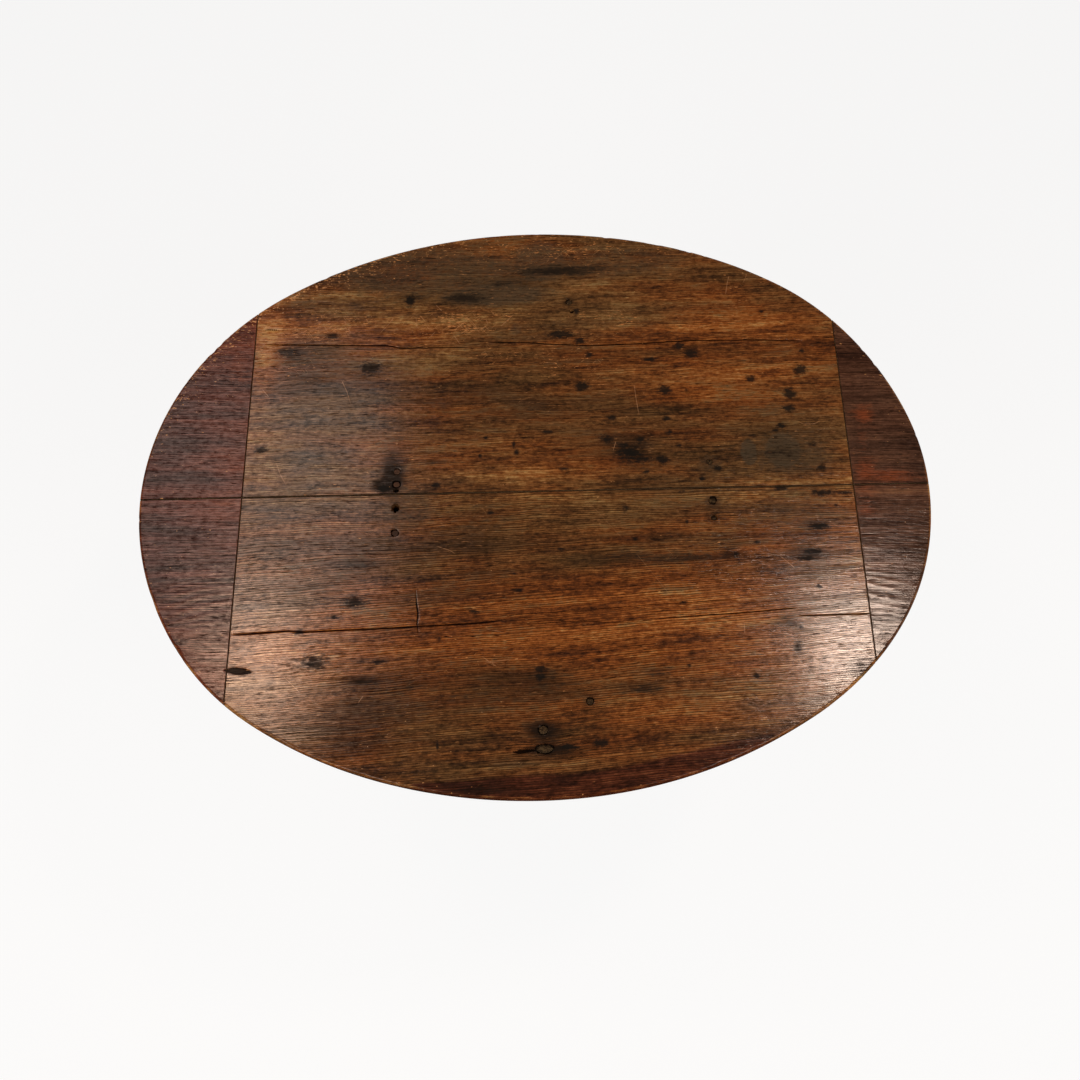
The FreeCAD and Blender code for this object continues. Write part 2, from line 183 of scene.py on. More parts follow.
# Smooth seeded noise and the fields that marks leave

# Side of the noise's repeating lattice, and what keeps a place in it positive
lattice_side = 61
lattice_offset = 500.0

# A distance beyond every mark, in millimetres
far_away = 1e6


def drift(x, y, length, width, seed):
    """Smooth noise from -1 to 1 with swells of about length by width millimetres."""
    lattice = np.random.default_rng(seed).uniform(-1.0, 1.0, (lattice_side, lattice_side))
    u, v = x / length + lattice_offset, y / width + lattice_offset
    i, j = np.floor(u).astype(int), np.floor(v).astype(int)
    a, b = u - i, v - j
    a, b = a * a * (3 - 2 * a), b * b * (3 - 2 * b)
    i, j, next_i, next_j = (k % lattice_side for k in (i, j, i + 1, j + 1))
    near = lattice[i, j] * (1 - b) + lattice[i, next_j] * b
    far = lattice[next_i, j] * (1 - b) + lattice[next_i, next_j] * b
    return near * (1 - a) + far * a


def spot_radius(x, y, spot):
    """Distance from a spot's middle, as a share of its size. A spot is a pixel, its width and its height."""
    across, down, width, height = spot[:4]
    middle_x, middle_y = on_top(across, down)
    left, right = on_top(across - width / 2, down), on_top(across + width / 2, down)
    front, rear = on_top(across, down + height / 2), on_top(across, down - height / 2)
    half_x = math.dist(left, right) / 2
    half_y = math.dist(front, rear) / 2
    return np.hypot((x - middle_x) / half_x, (y - middle_y) / half_y)


def path_distance(x, y, pixels):
    """Signed distance from a line through pixels of the photograph, and how far along it, from 0 to 1."""
    corners = [on_top(*pixel) for pixel in pixels]
    lengths = [math.dist(a, b) for a, b in zip(corners, corners[1:])]
    whole = sum(lengths)
    best = np.full_like(x, far_away)
    along = np.zeros_like(x)
    passed = 0.0
    for (ax, ay), (bx, by), length in zip(corners, corners[1:], lengths):
        tx, ty = (bx - ax) / length, (by - ay) / length
        share = np.clip((x - ax) * tx + (y - ay) * ty, 0.0, length)
        off_x, off_y = x - ax - share * tx, y - ay - share * ty
        side = np.where(tx * off_y - ty * off_x < 0, -1.0, 1.0)
        distance = np.hypot(off_x, off_y)
        closer = distance < np.abs(best)
        best = np.where(closer, side * distance, best)
        along = np.where(closer, (passed + share) / whole, along)
        passed += length
    return best, along


# Splits that follow the grain: pixels along them, width and depth in millimetres
rear_split_left = ((262, 344.3), (274, 344.5), (388, 345.4), (400, 348.0), (430, 347.3), (472, 347.3))
rear_split_right = (
    (484, 342.6), (516, 341.6), (548, 343.8), (591, 345.4), (662, 342.0), (690, 340.0),
    (757, 339.5), (807, 340.5),
)
front_split = ((229.8, 635), (288, 631), (303, 632), (400, 627.5), (424, 626), (478, 623), (506, 619.6))
front_split_on = ((496, 616), (580, 610.5), (645, 605), (684, 602.5), (740, 599))
front_split_strand = ((515, 624), (580, 621), (624, 622.7), (655, 620))
front_split_right = ((650, 619.6), (687, 616), (740, 612.6), (797, 607.7))
front_split_end = ((798, 615.7), (830, 614.6), (874, 613.4))
short_split = ((440, 637), (470, 636.5), (502, 635))
splits = (
    (rear_split_left, 1.5, 1.4), (rear_split_right, 1.8, 1.8), (front_split, 2.0, 1.3),
    (front_split_on, 0.9, 0.5), (front_split_strand, 0.8, 0.4), (front_split_right, 1.2, 0.8),
    (front_split_end, 1.2, 0.7), (short_split, 0.9, 0.4),
)

# Gouges, gashes and slits: pixels along them, width and depth in millimetres
gash = ((416, 590), (416.4, 603), (418, 614), (417, 624), (418, 634))
gouges = (
    (gash, 2.2, 0.15),
    (((259, 330), (270, 329.6), (284, 330.6)), 2.4, 0.4),
    (((857, 494.6), (872, 494)), 1.0, 0.1),
    (((858, 498), (870, 497.6)), 1.2, 0.1),
    (((224, 670.6), (238, 671), (253, 672.6)), 8.6, 0.3),
    (((510, 752.8), (522, 751.6), (536, 750)), 4.6, 1.2),
    (((855, 535), (897, 533)), 1.0, 0.12),
    (((869, 597), (896, 594)), 1.0, 0.12),
)

# Dark spots with a clear edge, as pixels: middle, width and height
dark_spots = (
    (371, 368.6, 20, 12), (260.7, 449.5, 12, 6), (582.4, 385.8, 15, 9), (665, 389.8, 12, 8),
    (686, 389.6, 3, 3), (679, 345.4, 9, 6), (691, 353.4, 13, 8), (649.5, 359, 13, 4),
    (588.7, 354.6, 7, 5), (579.5, 340.8, 9, 6), (560, 334, 26, 7), (801, 369.6, 13, 8),
    (801.6, 350.4, 5, 4), (750.6, 378.3, 8, 5), (761.4, 311.4, 4, 3), (790, 394, 11, 11),
    (789.3, 408, 11, 6), (781.3, 425.4, 7, 5), (775.5, 430, 5, 3), (663.3, 461, 12, 5),
    (612.2, 417.4, 8, 5), (667, 418.5, 8, 4), (718, 468.5, 9, 4), (702, 478, 6, 5),
    (821.4, 467.7, 9, 4), (435.6, 485, 9, 5), (480.4, 456, 4, 4), (513.6, 444, 3, 7),
    (517, 452, 5, 5), (485.5, 437.5, 5, 3), (547, 432, 14, 3), (564, 468.5, 10, 3),
    (334.5, 617.7, 14, 3), (299, 632, 9, 6), (314, 662, 25, 14), (379, 662, 18, 4),
    (540.7, 669, 12, 6), (540.7, 677, 8, 7), (439, 639, 5, 4), (689, 665, 4, 4),
    (757, 541.7, 6, 3), (819.6, 586.4, 6, 5), (801, 627, 5, 4), (757, 676, 6, 5),
    (567, 746.3, 17, 6), (601.4, 742.8, 15, 8), (437, 745, 2.5, 8), (410, 301, 9, 9),
    (684, 602.5, 7, 3), (511, 739.5, 3, 2.5), (384, 489, 14, 8), (781, 487.8, 15, 5),
    (822, 492.6, 20, 5), (576, 311, 5, 5), (836, 505, 4, 3), (661, 459, 11, 6), (843, 492.6, 20, 3),
)

# Fainter spots, as pixels: middle, width and height
faint_spots = (
    (669, 432.3, 8, 6), (679.4, 445.5, 8, 3), (646, 472, 9, 4), (681.7, 492, 9, 5), (687, 521.6, 4, 5),
    (635, 539, 6, 5), (735, 553, 8, 4), (812, 444, 10, 5), (352.8, 602, 30, 14), (473.5, 611.7, 10, 6),
    (490.7, 513, 8, 6), (626.4, 508, 8, 6), (560.7, 549.7, 7, 4), (514.8, 573.6, 8, 3), (518, 590, 13, 4),
    (630, 453, 32, 20), (622, 446, 18, 9), (640, 459, 24, 7), (607, 439, 17, 8), (640, 440, 16, 8),
    (820, 526, 24, 7), (812, 551, 28, 6), (806, 558, 26, 5),
)

# Soft dark stains as pixels: middle, width and height, then how dark
soft_stains = (
    (358, 320, 20, 6, 0.30), (333, 336, 14, 7, 0.30), (288, 352, 30, 10, 0.30), (282, 310, 30, 8, 0.25),
    (352, 566, 72, 13, 0.26), (546, 407, 52, 10, 0.16), (632, 452, 42, 34, 0.18), (640, 448, 90, 60, 0.08),
    (607, 439, 20, 10, 0.14), (444, 408, 16, 10, 0.14), (433, 424, 18, 12, 0.16), (436, 462, 26, 10, 0.15),
    (392, 474, 26, 44, 0.42), (380, 487, 26, 12, 0.26), (575, 270, 80, 14, 0.26), (510, 284, 60, 10, 0.20),
    (536, 272, 50, 10, 0.24), (464, 298, 50, 14, 0.32), (416, 299, 22, 12, 0.16),
    (395, 297, 60, 14, 0.10), (635, 287, 74, 9, 0.12), (620, 299, 30, 6, 0.10),
    (500, 284, 14, 8, 0.08), (784, 454, 70, 40, 0.20), (746, 454, 16, 30, 0.10),
    (710, 465, 30, 24, 0.12), (714, 503, 16, 14, 0.14), (568, 302, 16, 10, 0.16),
    (610, 557, 120, 14, 0.22), (700, 556, 80, 12, 0.20), (575, 524, 20, 12, 0.12),
    (660, 532, 60, 20, 0.10), (817, 526, 28, 14, 0.24), (810, 554, 42, 18, 0.28),
    (732, 553, 22, 14, 0.24), (850, 600, 26, 16, 0.10), (643, 688, 40, 12, 0.26),
    (660, 674, 26, 10, 0.22), (362, 680, 44, 10, 0.26), (545, 730, 44, 20, 0.34),
    (556, 750, 56, 14, 0.32), (600, 742, 26, 14, 0.14), (632, 781, 10, 12, 0.12),
    (798, 648, 10, 14, 0.34), (792, 622, 22, 14, 0.22), (300, 372, 90, 50, 0.14),
    (320, 355, 80, 14, 0.10), (430, 690, 190, 36, 0.12), (535, 684, 110, 30, 0.14), (330, 600, 60, 26, 0.08),
    (470, 520, 120, 30, 0.08), (860, 440, 24, 40, 0.10), (310, 277, 50, 14, 0.06),
    (465, 790, 130, 18, 0.24), (864, 668, 34, 20, 0.26), (700, 690, 60, 40, 0.06), (480, 560, 30, 60, 0.06),
)

# Broad changes of tone as pixels: middle, width and height, then lighter (+) and more orange (+) or olive
# (-).
# Most are the wood's own tone; those over the left sheen and the lower left highlight are painted sheen and
# painted highlight, lighter there, and darker just right of and below that highlight, where it ends
tone_and_sheen_patches = (
    (535, 480, 110, 26, 0.25, -0.05), (590, 478, 240, 18, 0.08, -0.10), (800, 481, 110, 8, 0.14, 0.0),
    (271, 332, 30, 52, 0.26, 0.90), (264, 370, 18, 70, 0.10, 0.25), (390, 320, 280, 28, 0.15, 0.05),
    (600, 325, 150, 26, 0.08, -0.20), (740, 360, 200, 70, 0.06, 0.10), (740, 318, 160, 40, 0.06, 0.15),
    (560, 250, 230, 20, 0.06, -0.05), (480, 450, 130, 40, 0.04, 0.10), (690, 395, 120, 24, 0.06, 0.30),
    (320, 450, 140, 100, 0.06, -0.20), (300, 520, 140, 60, -0.02, -0.20), (430, 400, 120, 60, 0.0, 0.15),
    (600, 512, 260, 34, 0.06, -0.20), (600, 590, 260, 44, 0.01, 0.20), (640, 640, 240, 50, 0.05, 0.35),
    (300, 655, 170, 70, 0.12, 0.35), (640, 700, 210, 40, 0.03, -0.05), (740, 550, 120, 20, 0.02, 0.20),
    (560, 650, 200, 30, 0.03, 0.20), (430, 740, 150, 40, 0.02, -0.10), (780, 520, 130, 50, 0.0, -0.25),
    (450, 545, 170, 40, -0.04, 0.0), (244, 460, 70, 90, 0.14, 0.0), (432, 362, 60, 40, 0.08, 0.0),
    (600, 290, 90, 60, 0.06, 0.0), (766, 712, 80, 40, 0.10, -0.10),
    (163, 520, 60, 260, -0.08, 0.0), (226, 492, 30, 60, 0.09, 0.0), (355, 705, 90, 130, -0.09, 0.10),
    (356, 604, 70, 50, 0.06, 0.50), (872, 566, 60, 90, 0.08, 0.10), (630, 706, 150, 26, -0.06, 0.10),
    (480, 786, 120, 20, -0.05, 0.0), (886, 470, 90, 100, 0.08, 0.0), (780, 455, 180, 60, 0.09, -0.05),
    (690, 715, 150, 50, 0.07, 0.0), (745, 632, 110, 110, 0.04, 0.15), (700, 610, 150, 50, 0.08, 0.05),
    (780, 492, 150, 40, 0.10, -0.05), (435, 512, 90, 30, 0.07, 0.0), (410, 330, 130, 60, 0.06, 0.0),
    (535, 684, 120, 30, -0.05, 0.0), (470, 385, 150, 50, -0.04, 0.0), (784, 452, 90, 46, 0.0, -0.40),
    (690, 450, 300, 80, 0.0, -0.12), (500, 385, 220, 60, 0.0, -0.22), (480, 300, 240, 60, 0.0, -0.15),
    (530, 628, 330, 50, 0.0, 0.50), (560, 556, 320, 34, 0.0, -0.20), (600, 690, 260, 30, 0.0, -0.15),
    (790, 580, 70, 90, -0.05, 0.10), (355, 750, 60, 40, -0.06, 0.2),
    (635, 712, 200, 24, 0.05, 0.10), (780, 525, 130, 50, 0.0, 0.25), (855, 430, 50, 40, 0.04, 0.0),
    (370, 285, 160, 50, 0.08, 0.0), (560, 288, 260, 44, 0.05, -0.15), (350, 400, 130, 60, -0.02, -0.10),
)

# Grey bloom, where something hot or wet stood, and grey painted sheen at the left and the right of the
# boards, as
# pixels: middle, width and height, then how strong, and how clear its edge is
blooms_and_sheen = (
    (749, 452, 16, 26, 0.9, 3.2), (783, 450, 38, 36, 0.95, 2.4), (790, 452, 110, 60, 0.62, 1.4),
    (516, 329, 16, 14, 0.6, 1.6), (575, 268, 60, 12, 0.7, 1.6), (494, 294, 130, 28, 0.85, 1.6),
    (430, 272, 240, 60, 0.7, 1.6), (600, 262, 200, 40, 0.6, 1.6), (580, 332, 240, 40, 0.4, 1.6),
    (710, 465, 34, 26, 0.5, 1.6), (430, 548, 20, 60, 0.4, 1.6), (320, 480, 130, 90, 0.42, 1.6),
    (408, 508, 74, 60, 0.65, 1.4), (700, 485, 220, 90, 0.36, 1.2), (800, 505, 130, 70, 0.5, 1.2),
    (540, 262, 70, 50, 0.8, 1.6),
)

# Patches where the red of the old finish glows, as pixels: middle, width and height, then how strong
red_patches = (
    (864, 416, 24, 20, 0.9), (866, 470, 26, 24, 0.9), (890, 475, 60, 18, 0.8), (866, 512, 26, 20, 0.7),
    (862, 440, 16, 34, 0.4), (866, 500, 30, 40, 0.6), (200, 350, 60, 30, 0.5), (222, 330, 40, 30, 0.6),
    (240, 370, 30, 70, 0.6), (200, 470, 70, 20, 0.3), (190, 640, 40, 20, 0.3),
)

# Where rubbing has bared pale flecks, as pixels: middle, width and height, then how thick they lie
fleck_patches = (
    (330, 326, 150, 34, 0.8), (848, 343, 40, 30, 0.45), (897, 395, 16, 80, 0.45), (880, 366, 20, 40, 0.4),
    (450, 322, 150, 40, 0.7), (290, 360, 70, 60, 0.4), (560, 252, 240, 30, 0.7), (600, 325, 160, 50, 0.5),
    (730, 290, 90, 50, 0.4), (500, 355, 130, 30, 0.6), (570, 368, 150, 40, 0.55), (380, 265, 110, 40, 0.6),
    (330, 470, 160, 70, 0.2), (700, 560, 160, 60, 0.3), (480, 650, 120, 60, 0.3), (800, 650, 90, 80, 0.3),
)

# Pale scratches, and two fainter ones, as pixels along them
scratches = (
    ((729, 275), (727, 284), (725.5, 295)), ((746.5, 275), (743, 283)), ((453, 334), (460, 344)),
    ((276, 462), (280, 474), (286, 485)), ((634, 383), (636, 398), (639, 415)),
    ((797, 421), (803, 423.6), (810, 424), (816, 423), (821, 420)),
    ((283, 676), (291, 684), (300, 693)), ((481, 656), (489, 661), (497, 667)),
    ((484, 663), (500, 660.5), (512, 659)), ((486, 629), (497, 631), (505, 633)),
    ((436, 546), (449, 550), (456, 554)), ((394, 317), (388, 325), (380, 333)), ((762, 544), (768, 548)),
    ((779, 555), (788, 562), (796, 569)), ((744, 621), (745, 634)), ((358, 703), (363, 696)),
    ((366, 319), (369, 323)), ((416, 318), (417, 328)), ((435, 304), (442, 311)), ((486, 319), (488, 325)),
    ((514, 314), (500, 327)), ((428, 339), (436, 331)), ((341, 379), (347, 392), (351, 405)),
    ((348, 328), (350.6, 333)), ((262, 389), (269, 397)), ((613, 451), (616, 441)),
)
faint_scratches = (((578, 492), (600, 514), (623, 539)), ((636, 553), (655, 576), (676, 602.5)))

# The line along the front rim below which the old finish is still unworn, as pixels, and how soon that fades
# in, in millimetres
finish_edge = (
    (330, 792), (418, 784), (480, 780), (540, 776), (584, 772), (625, 766), (655, 760), (685, 754),
    (727, 745), (776, 732), (810, 706),
)
finish_fade = 14.0

# How far the worn face lies below the drawn one, in millimetres, and the swells that the plane left: height,
# length and width, and the seed of their noise
face_drop = 0.22
plane_swells = ((0.12, 150.0, 70.0, 1), (0.06, 220.0, 26.0, 2), (0.03, 40.0, 5.0, 3))

# Raised growth rings of the end pieces, in millimetres: how far apart, how high, and where they begin to bow,
# with the bow's growth at the front and the rear
ridge_spacing = 5.6
ridge_height = 0.11
bow_start = 300.0
front_bow = 0.0011
rear_bow = -0.0006

# How strong the middle of a faint spot is, the most that a faint scratch shows, how far off a scratch counts,
# and the distance that stands for no scratch, both in millimetres
faint_peak = 0.86
faint_most = 0.5
scratch_reach = 5.0
no_scratch = 9.0

# Room round a fastener, how far its pocket goes below its head, and how deep the nicks of the rim are, all in
# millimetres, and the share of a pit that its wall takes up
pocket_room = 0.5
pocket_depth = 1.2
nick_depth = 2.2
pit_wall = 0.16


def strongest(field, values):
    """The larger of two fields, kept in the first."""
    np.maximum(field, values, out=field)


def shallow_bowl(near, depth):
    """The depth of a steep-sided pit at a distance from its middle, given as a share of its half size."""
    return depth * np.clip((1.0 - near) / pit_wall, 0.0, 1.0)


def round_over(distance, radius):
    """How far a rounded edge has dropped at a distance in from the edge."""
    flat = radius - np.clip(distance, 0.0, radius)
    return radius - np.sqrt(radius**2 - flat**2)


def grain_ridges(x, y):
    """Raised growth rings of the end pieces, worn until the hard wood stands proud, from 0 to 1."""
    beyond = np.maximum(np.abs(x) - bow_start, 0.0)
    bow = np.where(y < 0, front_bow, rear_bow) * beyond**2
    wave = y + bow + 1.8 * drift(x, y, 60.0, 40.0, 11)
    spacing = ridge_spacing + 0.6 * drift(x * 0.0, y, 1.0, 50.0, 12)
    ring = 0.5 + 0.5 * np.sin(2 * math.pi * wave / spacing)
    return ring**1.6


def cut_splits(x, y, relief, hollow_shade):
    """Lowers the face at the splits, gouges, gashes and slits, and paints shade into them."""
    for pixels, width, depth in splits:
        distance, along = path_distance(x, y, pixels)
        taper = np.clip(np.minimum(along, 1.0 - along) * 14.0, 0.0, 1.0)
        taper = taper * (0.75 + 0.25 * drift(x, y, 23.0, 400.0, 21))
        near = np.abs(distance) / (width / 2)
        relief += depth * taper * np.clip(1.25 - near, 0.0, 1.0)
        # Painted shade in the split
        strongest(hollow_shade, np.clip(taper, 0.0, 1.0) ** 0.3 * (1.0 - near / 2))
    for pixels, width, depth in gouges:
        distance, along = path_distance(x, y, pixels)
        width_here = width * np.clip(0.12 + np.minimum(along, 1.0 - along) * 2.6, 0.0, 1.0)
        near = np.abs(distance) / (width_here / 2)
        relief += depth * np.clip(1.2 - near, 0.0, 1.0)
        # Painted shade in the gouge
        strongest(hollow_shade, 1.0 - near / 2)


def stain_fields(x, y, tone, warmth):
    """The dark spots, and soft stains, bloom and grey painted sheen, red patches and flecks; changes the tone
    and warmth too, with painted sheen and painted highlight in some of the tone patches.
    """
    stain, smudge, bloom, red, flecked = np.zeros((5, *x.shape))
    for spots, peak in ((dark_spots, 1.0), (faint_spots, faint_peak)):
        for spot in spots:
            strongest(stain, peak - spot_radius(x, y, spot) / 2)
    for spot in soft_stains:
        weight = spot[4] * np.exp(-spot_radius(x, y, spot) ** 2)
        tone -= 0.4 * weight
        smudge += weight
    for spot in blooms_and_sheen:
        strongest(bloom, spot[4] * np.clip(spot[5] * (1.25 - spot_radius(x, y, spot)), 0.0, 1.0))
    for field, spots in ((red, red_patches), (flecked, fleck_patches)):
        for spot in spots:
            strongest(field, spot[4] * np.exp(-spot_radius(x, y, spot) ** 2))
    for spot in tone_and_sheen_patches:
        weight = np.exp(-spot_radius(x, y, spot) ** 2)
        tone += spot[4] * weight
        warmth += spot[5] * weight
    return stain, (smudge, bloom, red, flecked)


def scratch_fields(x, y):
    """Signed distance from the nearest scratch, and how much of it shows."""
    scar = np.full_like(x, no_scratch)
    scar_near = np.zeros_like(x)
    for paths, most in ((scratches, 1.0), (faint_scratches, faint_most)):
        for pixels in paths:
            distance, along = path_distance(x, y, pixels)
            closer = np.abs(distance) < np.abs(scar)
            scar = np.where(closer, distance, scar)
            ends = np.clip(np.minimum(along, 1.0 - along) * 8.0, 0.0, most)
            scar_near = np.where(closer & (np.abs(distance) < scratch_reach), ends, scar_near)
    return scar, scar_near


def sink_fasteners(x, y, relief, hollow_shade, tone):
    """Lowers the face at the pegs, nails and open holes, with painted shade in the narrow ring round each
    head and in the open holes, and a soft dark stain round each head.
    """
    for middle_x, middle_y, length, width, sink, gap_shade in fasteners:
        half_x, half_y = length / 2 + pocket_room, width / 2 + pocket_room
        near = np.hypot((x - middle_x) / half_x, (y - middle_y) / half_y)
        uneven = 0.16 * drift(x, y, 2.6, 2.6, 33)
        relief += shallow_bowl(near, sink + pocket_depth)
        # Painted shade in the narrow ring round the head
        strongest(hollow_shade, gap_shade + uneven - 0.9 * np.abs(near - 0.95))
        tone -= 0.12 * np.exp(-((near / 1.7) ** 2))
    for middle_x, middle_y, length, width, depth in open_holes:
        near = np.hypot((x - middle_x) / (length / 2), (y - middle_y) / (width / 2))
        relief += shallow_bowl(near, depth)
        # Painted shade inside the open holes
        strongest(hollow_shade, 1.0 - near / 2)


def face_relief(x, y, inside, from_ends, from_centre, end_piece):
    """How far the worn face lies below the CAD face, in millimetres, and the fields of its marks, with the
    shade painted into its splits, holes and seams.
    """
    hollow_shade, tone, warmth = np.zeros((3, *x.shape))
    relief = np.full_like(x, face_drop)
    for height, length, width, seed in plane_swells:
        relief += height * drift(x, y, length, width, seed)
    relief += round_over(np.minimum(from_ends, from_centre), seam_arris)

    if end_piece:
        strength = np.clip(0.35 + 0.9 * drift(x, y, 70.0, 60.0, 13), 0.1, 1.0)
        strength = strength * (0.35 + 1.2 * np.clip((-y - 50.0) / 130.0, 0.0, 1.0))
        ridges = strength * grain_ridges(x, y)
        relief += ridge_height * (strength - ridges)
        # Painted highlight: the ridge tops are drawn lighter, in place of the light that their low relief
        # would catch
        tone += 0.15 * (ridges - strength / 2)

    cut_splits(x, y, relief, hollow_shade)
    stain, stains = stain_fields(x, y, tone, warmth)
    scar, scar_near = scratch_fields(x, y)
    sink_fasteners(x, y, relief, hollow_shade, tone)

    nick = np.clip(drift(x, y, 9.0, 9.0, 31) + 0.5 * drift(x, y, 60.0, 60.0, 32) - 0.55, 0.0, 1.0)
    from_edge = inside - nick_depth * nick
    relief += round_over(from_edge, upper_edge_round) + 1.2 * np.clip(-from_edge, 0.0, 2.0)

    # Painted shade along the end seams and the centre seam
    strongest(hollow_shade, 0.72 - from_ends / 1.3)
    strongest(hollow_shade, 0.86 - from_centre / np.where(x < -60.0, 2.6, 1.9))
    return relief, (stain, hollow_shade, scar, scar_near), (tone, warmth), stains


def finish_left(x, y, end_piece):
    """Where the old dark red finish is still unworn, from 0 to 1."""
    if end_piece:
        return np.full_like(x, 0.85) + 0.15 * drift(x, y, 60.0, 40.0, 41)
    band, along = path_distance(x, y, finish_edge)
    ends = np.clip(np.minimum(along * 9.0, (1.0 - along) * 9.0), 0.0, 1.0)
    return np.clip(0.5 - band / finish_fade, 0.0, 1.0) * ends


def chip_pepper(x, y, inside):
    """How thickly tan chips pepper the rim, from 0 to 1: most along the rear left."""
    rear_left = swell_round(x, y, 135.0, 42.0)
    rear = swell_round(x, y, 80.0, 60.0)
    reach = 7.0 + 18.0 * rear_left
    amount = 0.19 + 0.32 * rear_left + 0.12 * rear
    return np.clip(amount * np.exp(-inside / reach), 0.0, 1.0)


# Building the boards of the top

# Which of the twelve fields of a point hold the unworn finish and the chips, and how many chips the edge has
finish_channel = 6
pepper_channel = 7
edge_chip_share = 0.3

# Mesh steps of a wide board along and across, and of an end piece across and along
board_steps = (350, 215)
end_steps = (190, 84)

# How the mesh's lines crowd at a feature: how much, and how far from it, in millimetres; and how many samples
# of a line the crowding is worked out from
seam_crowd = (6.0, 2.0)
middle_crowd = (7.0, 2.0)
rim_crowd = (7.0, 3.0)
tip_crowd = (2.0, 6.0)
split_crowd = (4.0, 2.4)
gash_crowd = (5.0, 3.0)
fastener_crowd = (2.2, 8.0)
head_crowd = 1.2
head_reach = 14.0
crowding_samples = 900

# How wide an end piece is left at its tip, where wear has rubbed the rim and how far that reaches, and the
# least step down from the rim, in millimetres; and the least share of the rim's lean that is followed
tip_width = 0.6
rub_inset = 1.3
rub_reach = 1.4
rim_step = 0.05
least_lean = 0.2


def crowded(start, stop, count, crowds):
    """count + 1 places from start to stop for each line, crowded round some: (place, how much, reach)."""
    start, stop = np.broadcast_arrays(np.atleast_1d(start), np.atleast_1d(stop))
    share = np.linspace(0.0, 1.0, crowding_samples)
    place = start[:, None] + (stop - start)[:, None] * share
    density = np.ones_like(place)
    for middle, much, reach in crowds:
        offset = place - np.broadcast_to(np.atleast_1d(middle), start.shape)[:, None]
        density += np.reshape(much, (-1, 1)) * np.exp(-((offset / reach) ** 2))
    steps = (density[:, 1:] + density[:, :-1]) / 2
    run = np.concatenate([np.zeros((len(start), 1)), np.cumsum(steps, axis=1)], axis=1)
    even = np.linspace(0.0, 1.0, count + 1)
    return np.array([np.interp(even * r[-1], r, p) for r, p in zip(run, place)])


def add_fields(mesh, marks, tones, stains):
    """Stores the fields of marks, tones and stains on the mesh's points for its material."""
    for name, channels in (("marks", marks), ("tones", tones), ("stains", stains)):
        layer = mesh.attributes.new(name, "FLOAT_COLOR", "POINT")
        layer.data.foreach_set("color", channels.T.astype(np.float32).ravel())


def add_object(name, data):
    """An object of the scene, for a mesh, a lamp or a camera."""
    made = bpy.data.objects.new(name, data)
    bpy.context.scene.collection.objects.link(made)
    return made


def finish_mesh(name, mesh, materials, nodes, sharp=35.0):
    """Makes an object of a mesh, in metres, that stands for CAD nodes of the table."""
    made = add_object(name, mesh)
    for material in materials:
        mesh.materials.append(material)
    mesh.shade_smooth()
    mesh.set_sharp_from_angle(angle=math.radians(sharp))
    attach(made, "root")
    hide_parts(*nodes)


def rim_profile():
    """Inset and level of the points down the outer edge, from below the upper round to the underside."""
    points = []
    upper = table_height - upper_edge_round
    lower = underside + lower_edge_round
    for share in (0.15, 0.45, 0.75, 1.0):
        points.append((0.0, upper + (lower - upper) * share))
    for turn in (30.0, 60.0, 90.0):
        angle = math.radians(turn)
        points.append((
            lower_edge_round * (1 - math.cos(angle)),
            lower - lower_edge_round * math.sin(angle),
        ))
    return points


def board_mesh(name, rows, fields, face_rows):
    """A closed mesh of rows of points that run round a board, with their fields. The first rows, down to its
    lower edge, take the first material, and the rest take the second."""
    points = np.concatenate(rows) * millimetre
    ids = np.arange(len(points)).reshape(len(rows), -1)
    faces, kinds = [], []
    for k in range(len(rows)):
        this, after = ids[k], ids[(k + 1) % len(rows)]
        strip = np.stack([this[:-1], this[1:], after[1:], after[:-1]], axis=1)
        faces.extend(strip.tolist())
        kinds.extend([0 if k < face_rows else 1] * len(strip))
    faces.append(ids[:, 0].tolist())
    faces.append(ids[::-1, -1].tolist())
    kinds.extend([1, 1])
    mesh = bpy.data.meshes.new(name)
    mesh.from_pydata(points.tolist(), [], faces)
    values = np.concatenate(fields)
    add_fields(mesh, values[:, :4].T, values[:, 4:8].T, values[:, 8:].T)
    mesh.polygons.foreach_set("material_index", kinds)
    shape = bmesh.new()
    shape.from_mesh(mesh)
    bmesh.ops.recalc_face_normals(shape, faces=shape.faces)
    shape.to_mesh(mesh)
    shape.free()
    return mesh


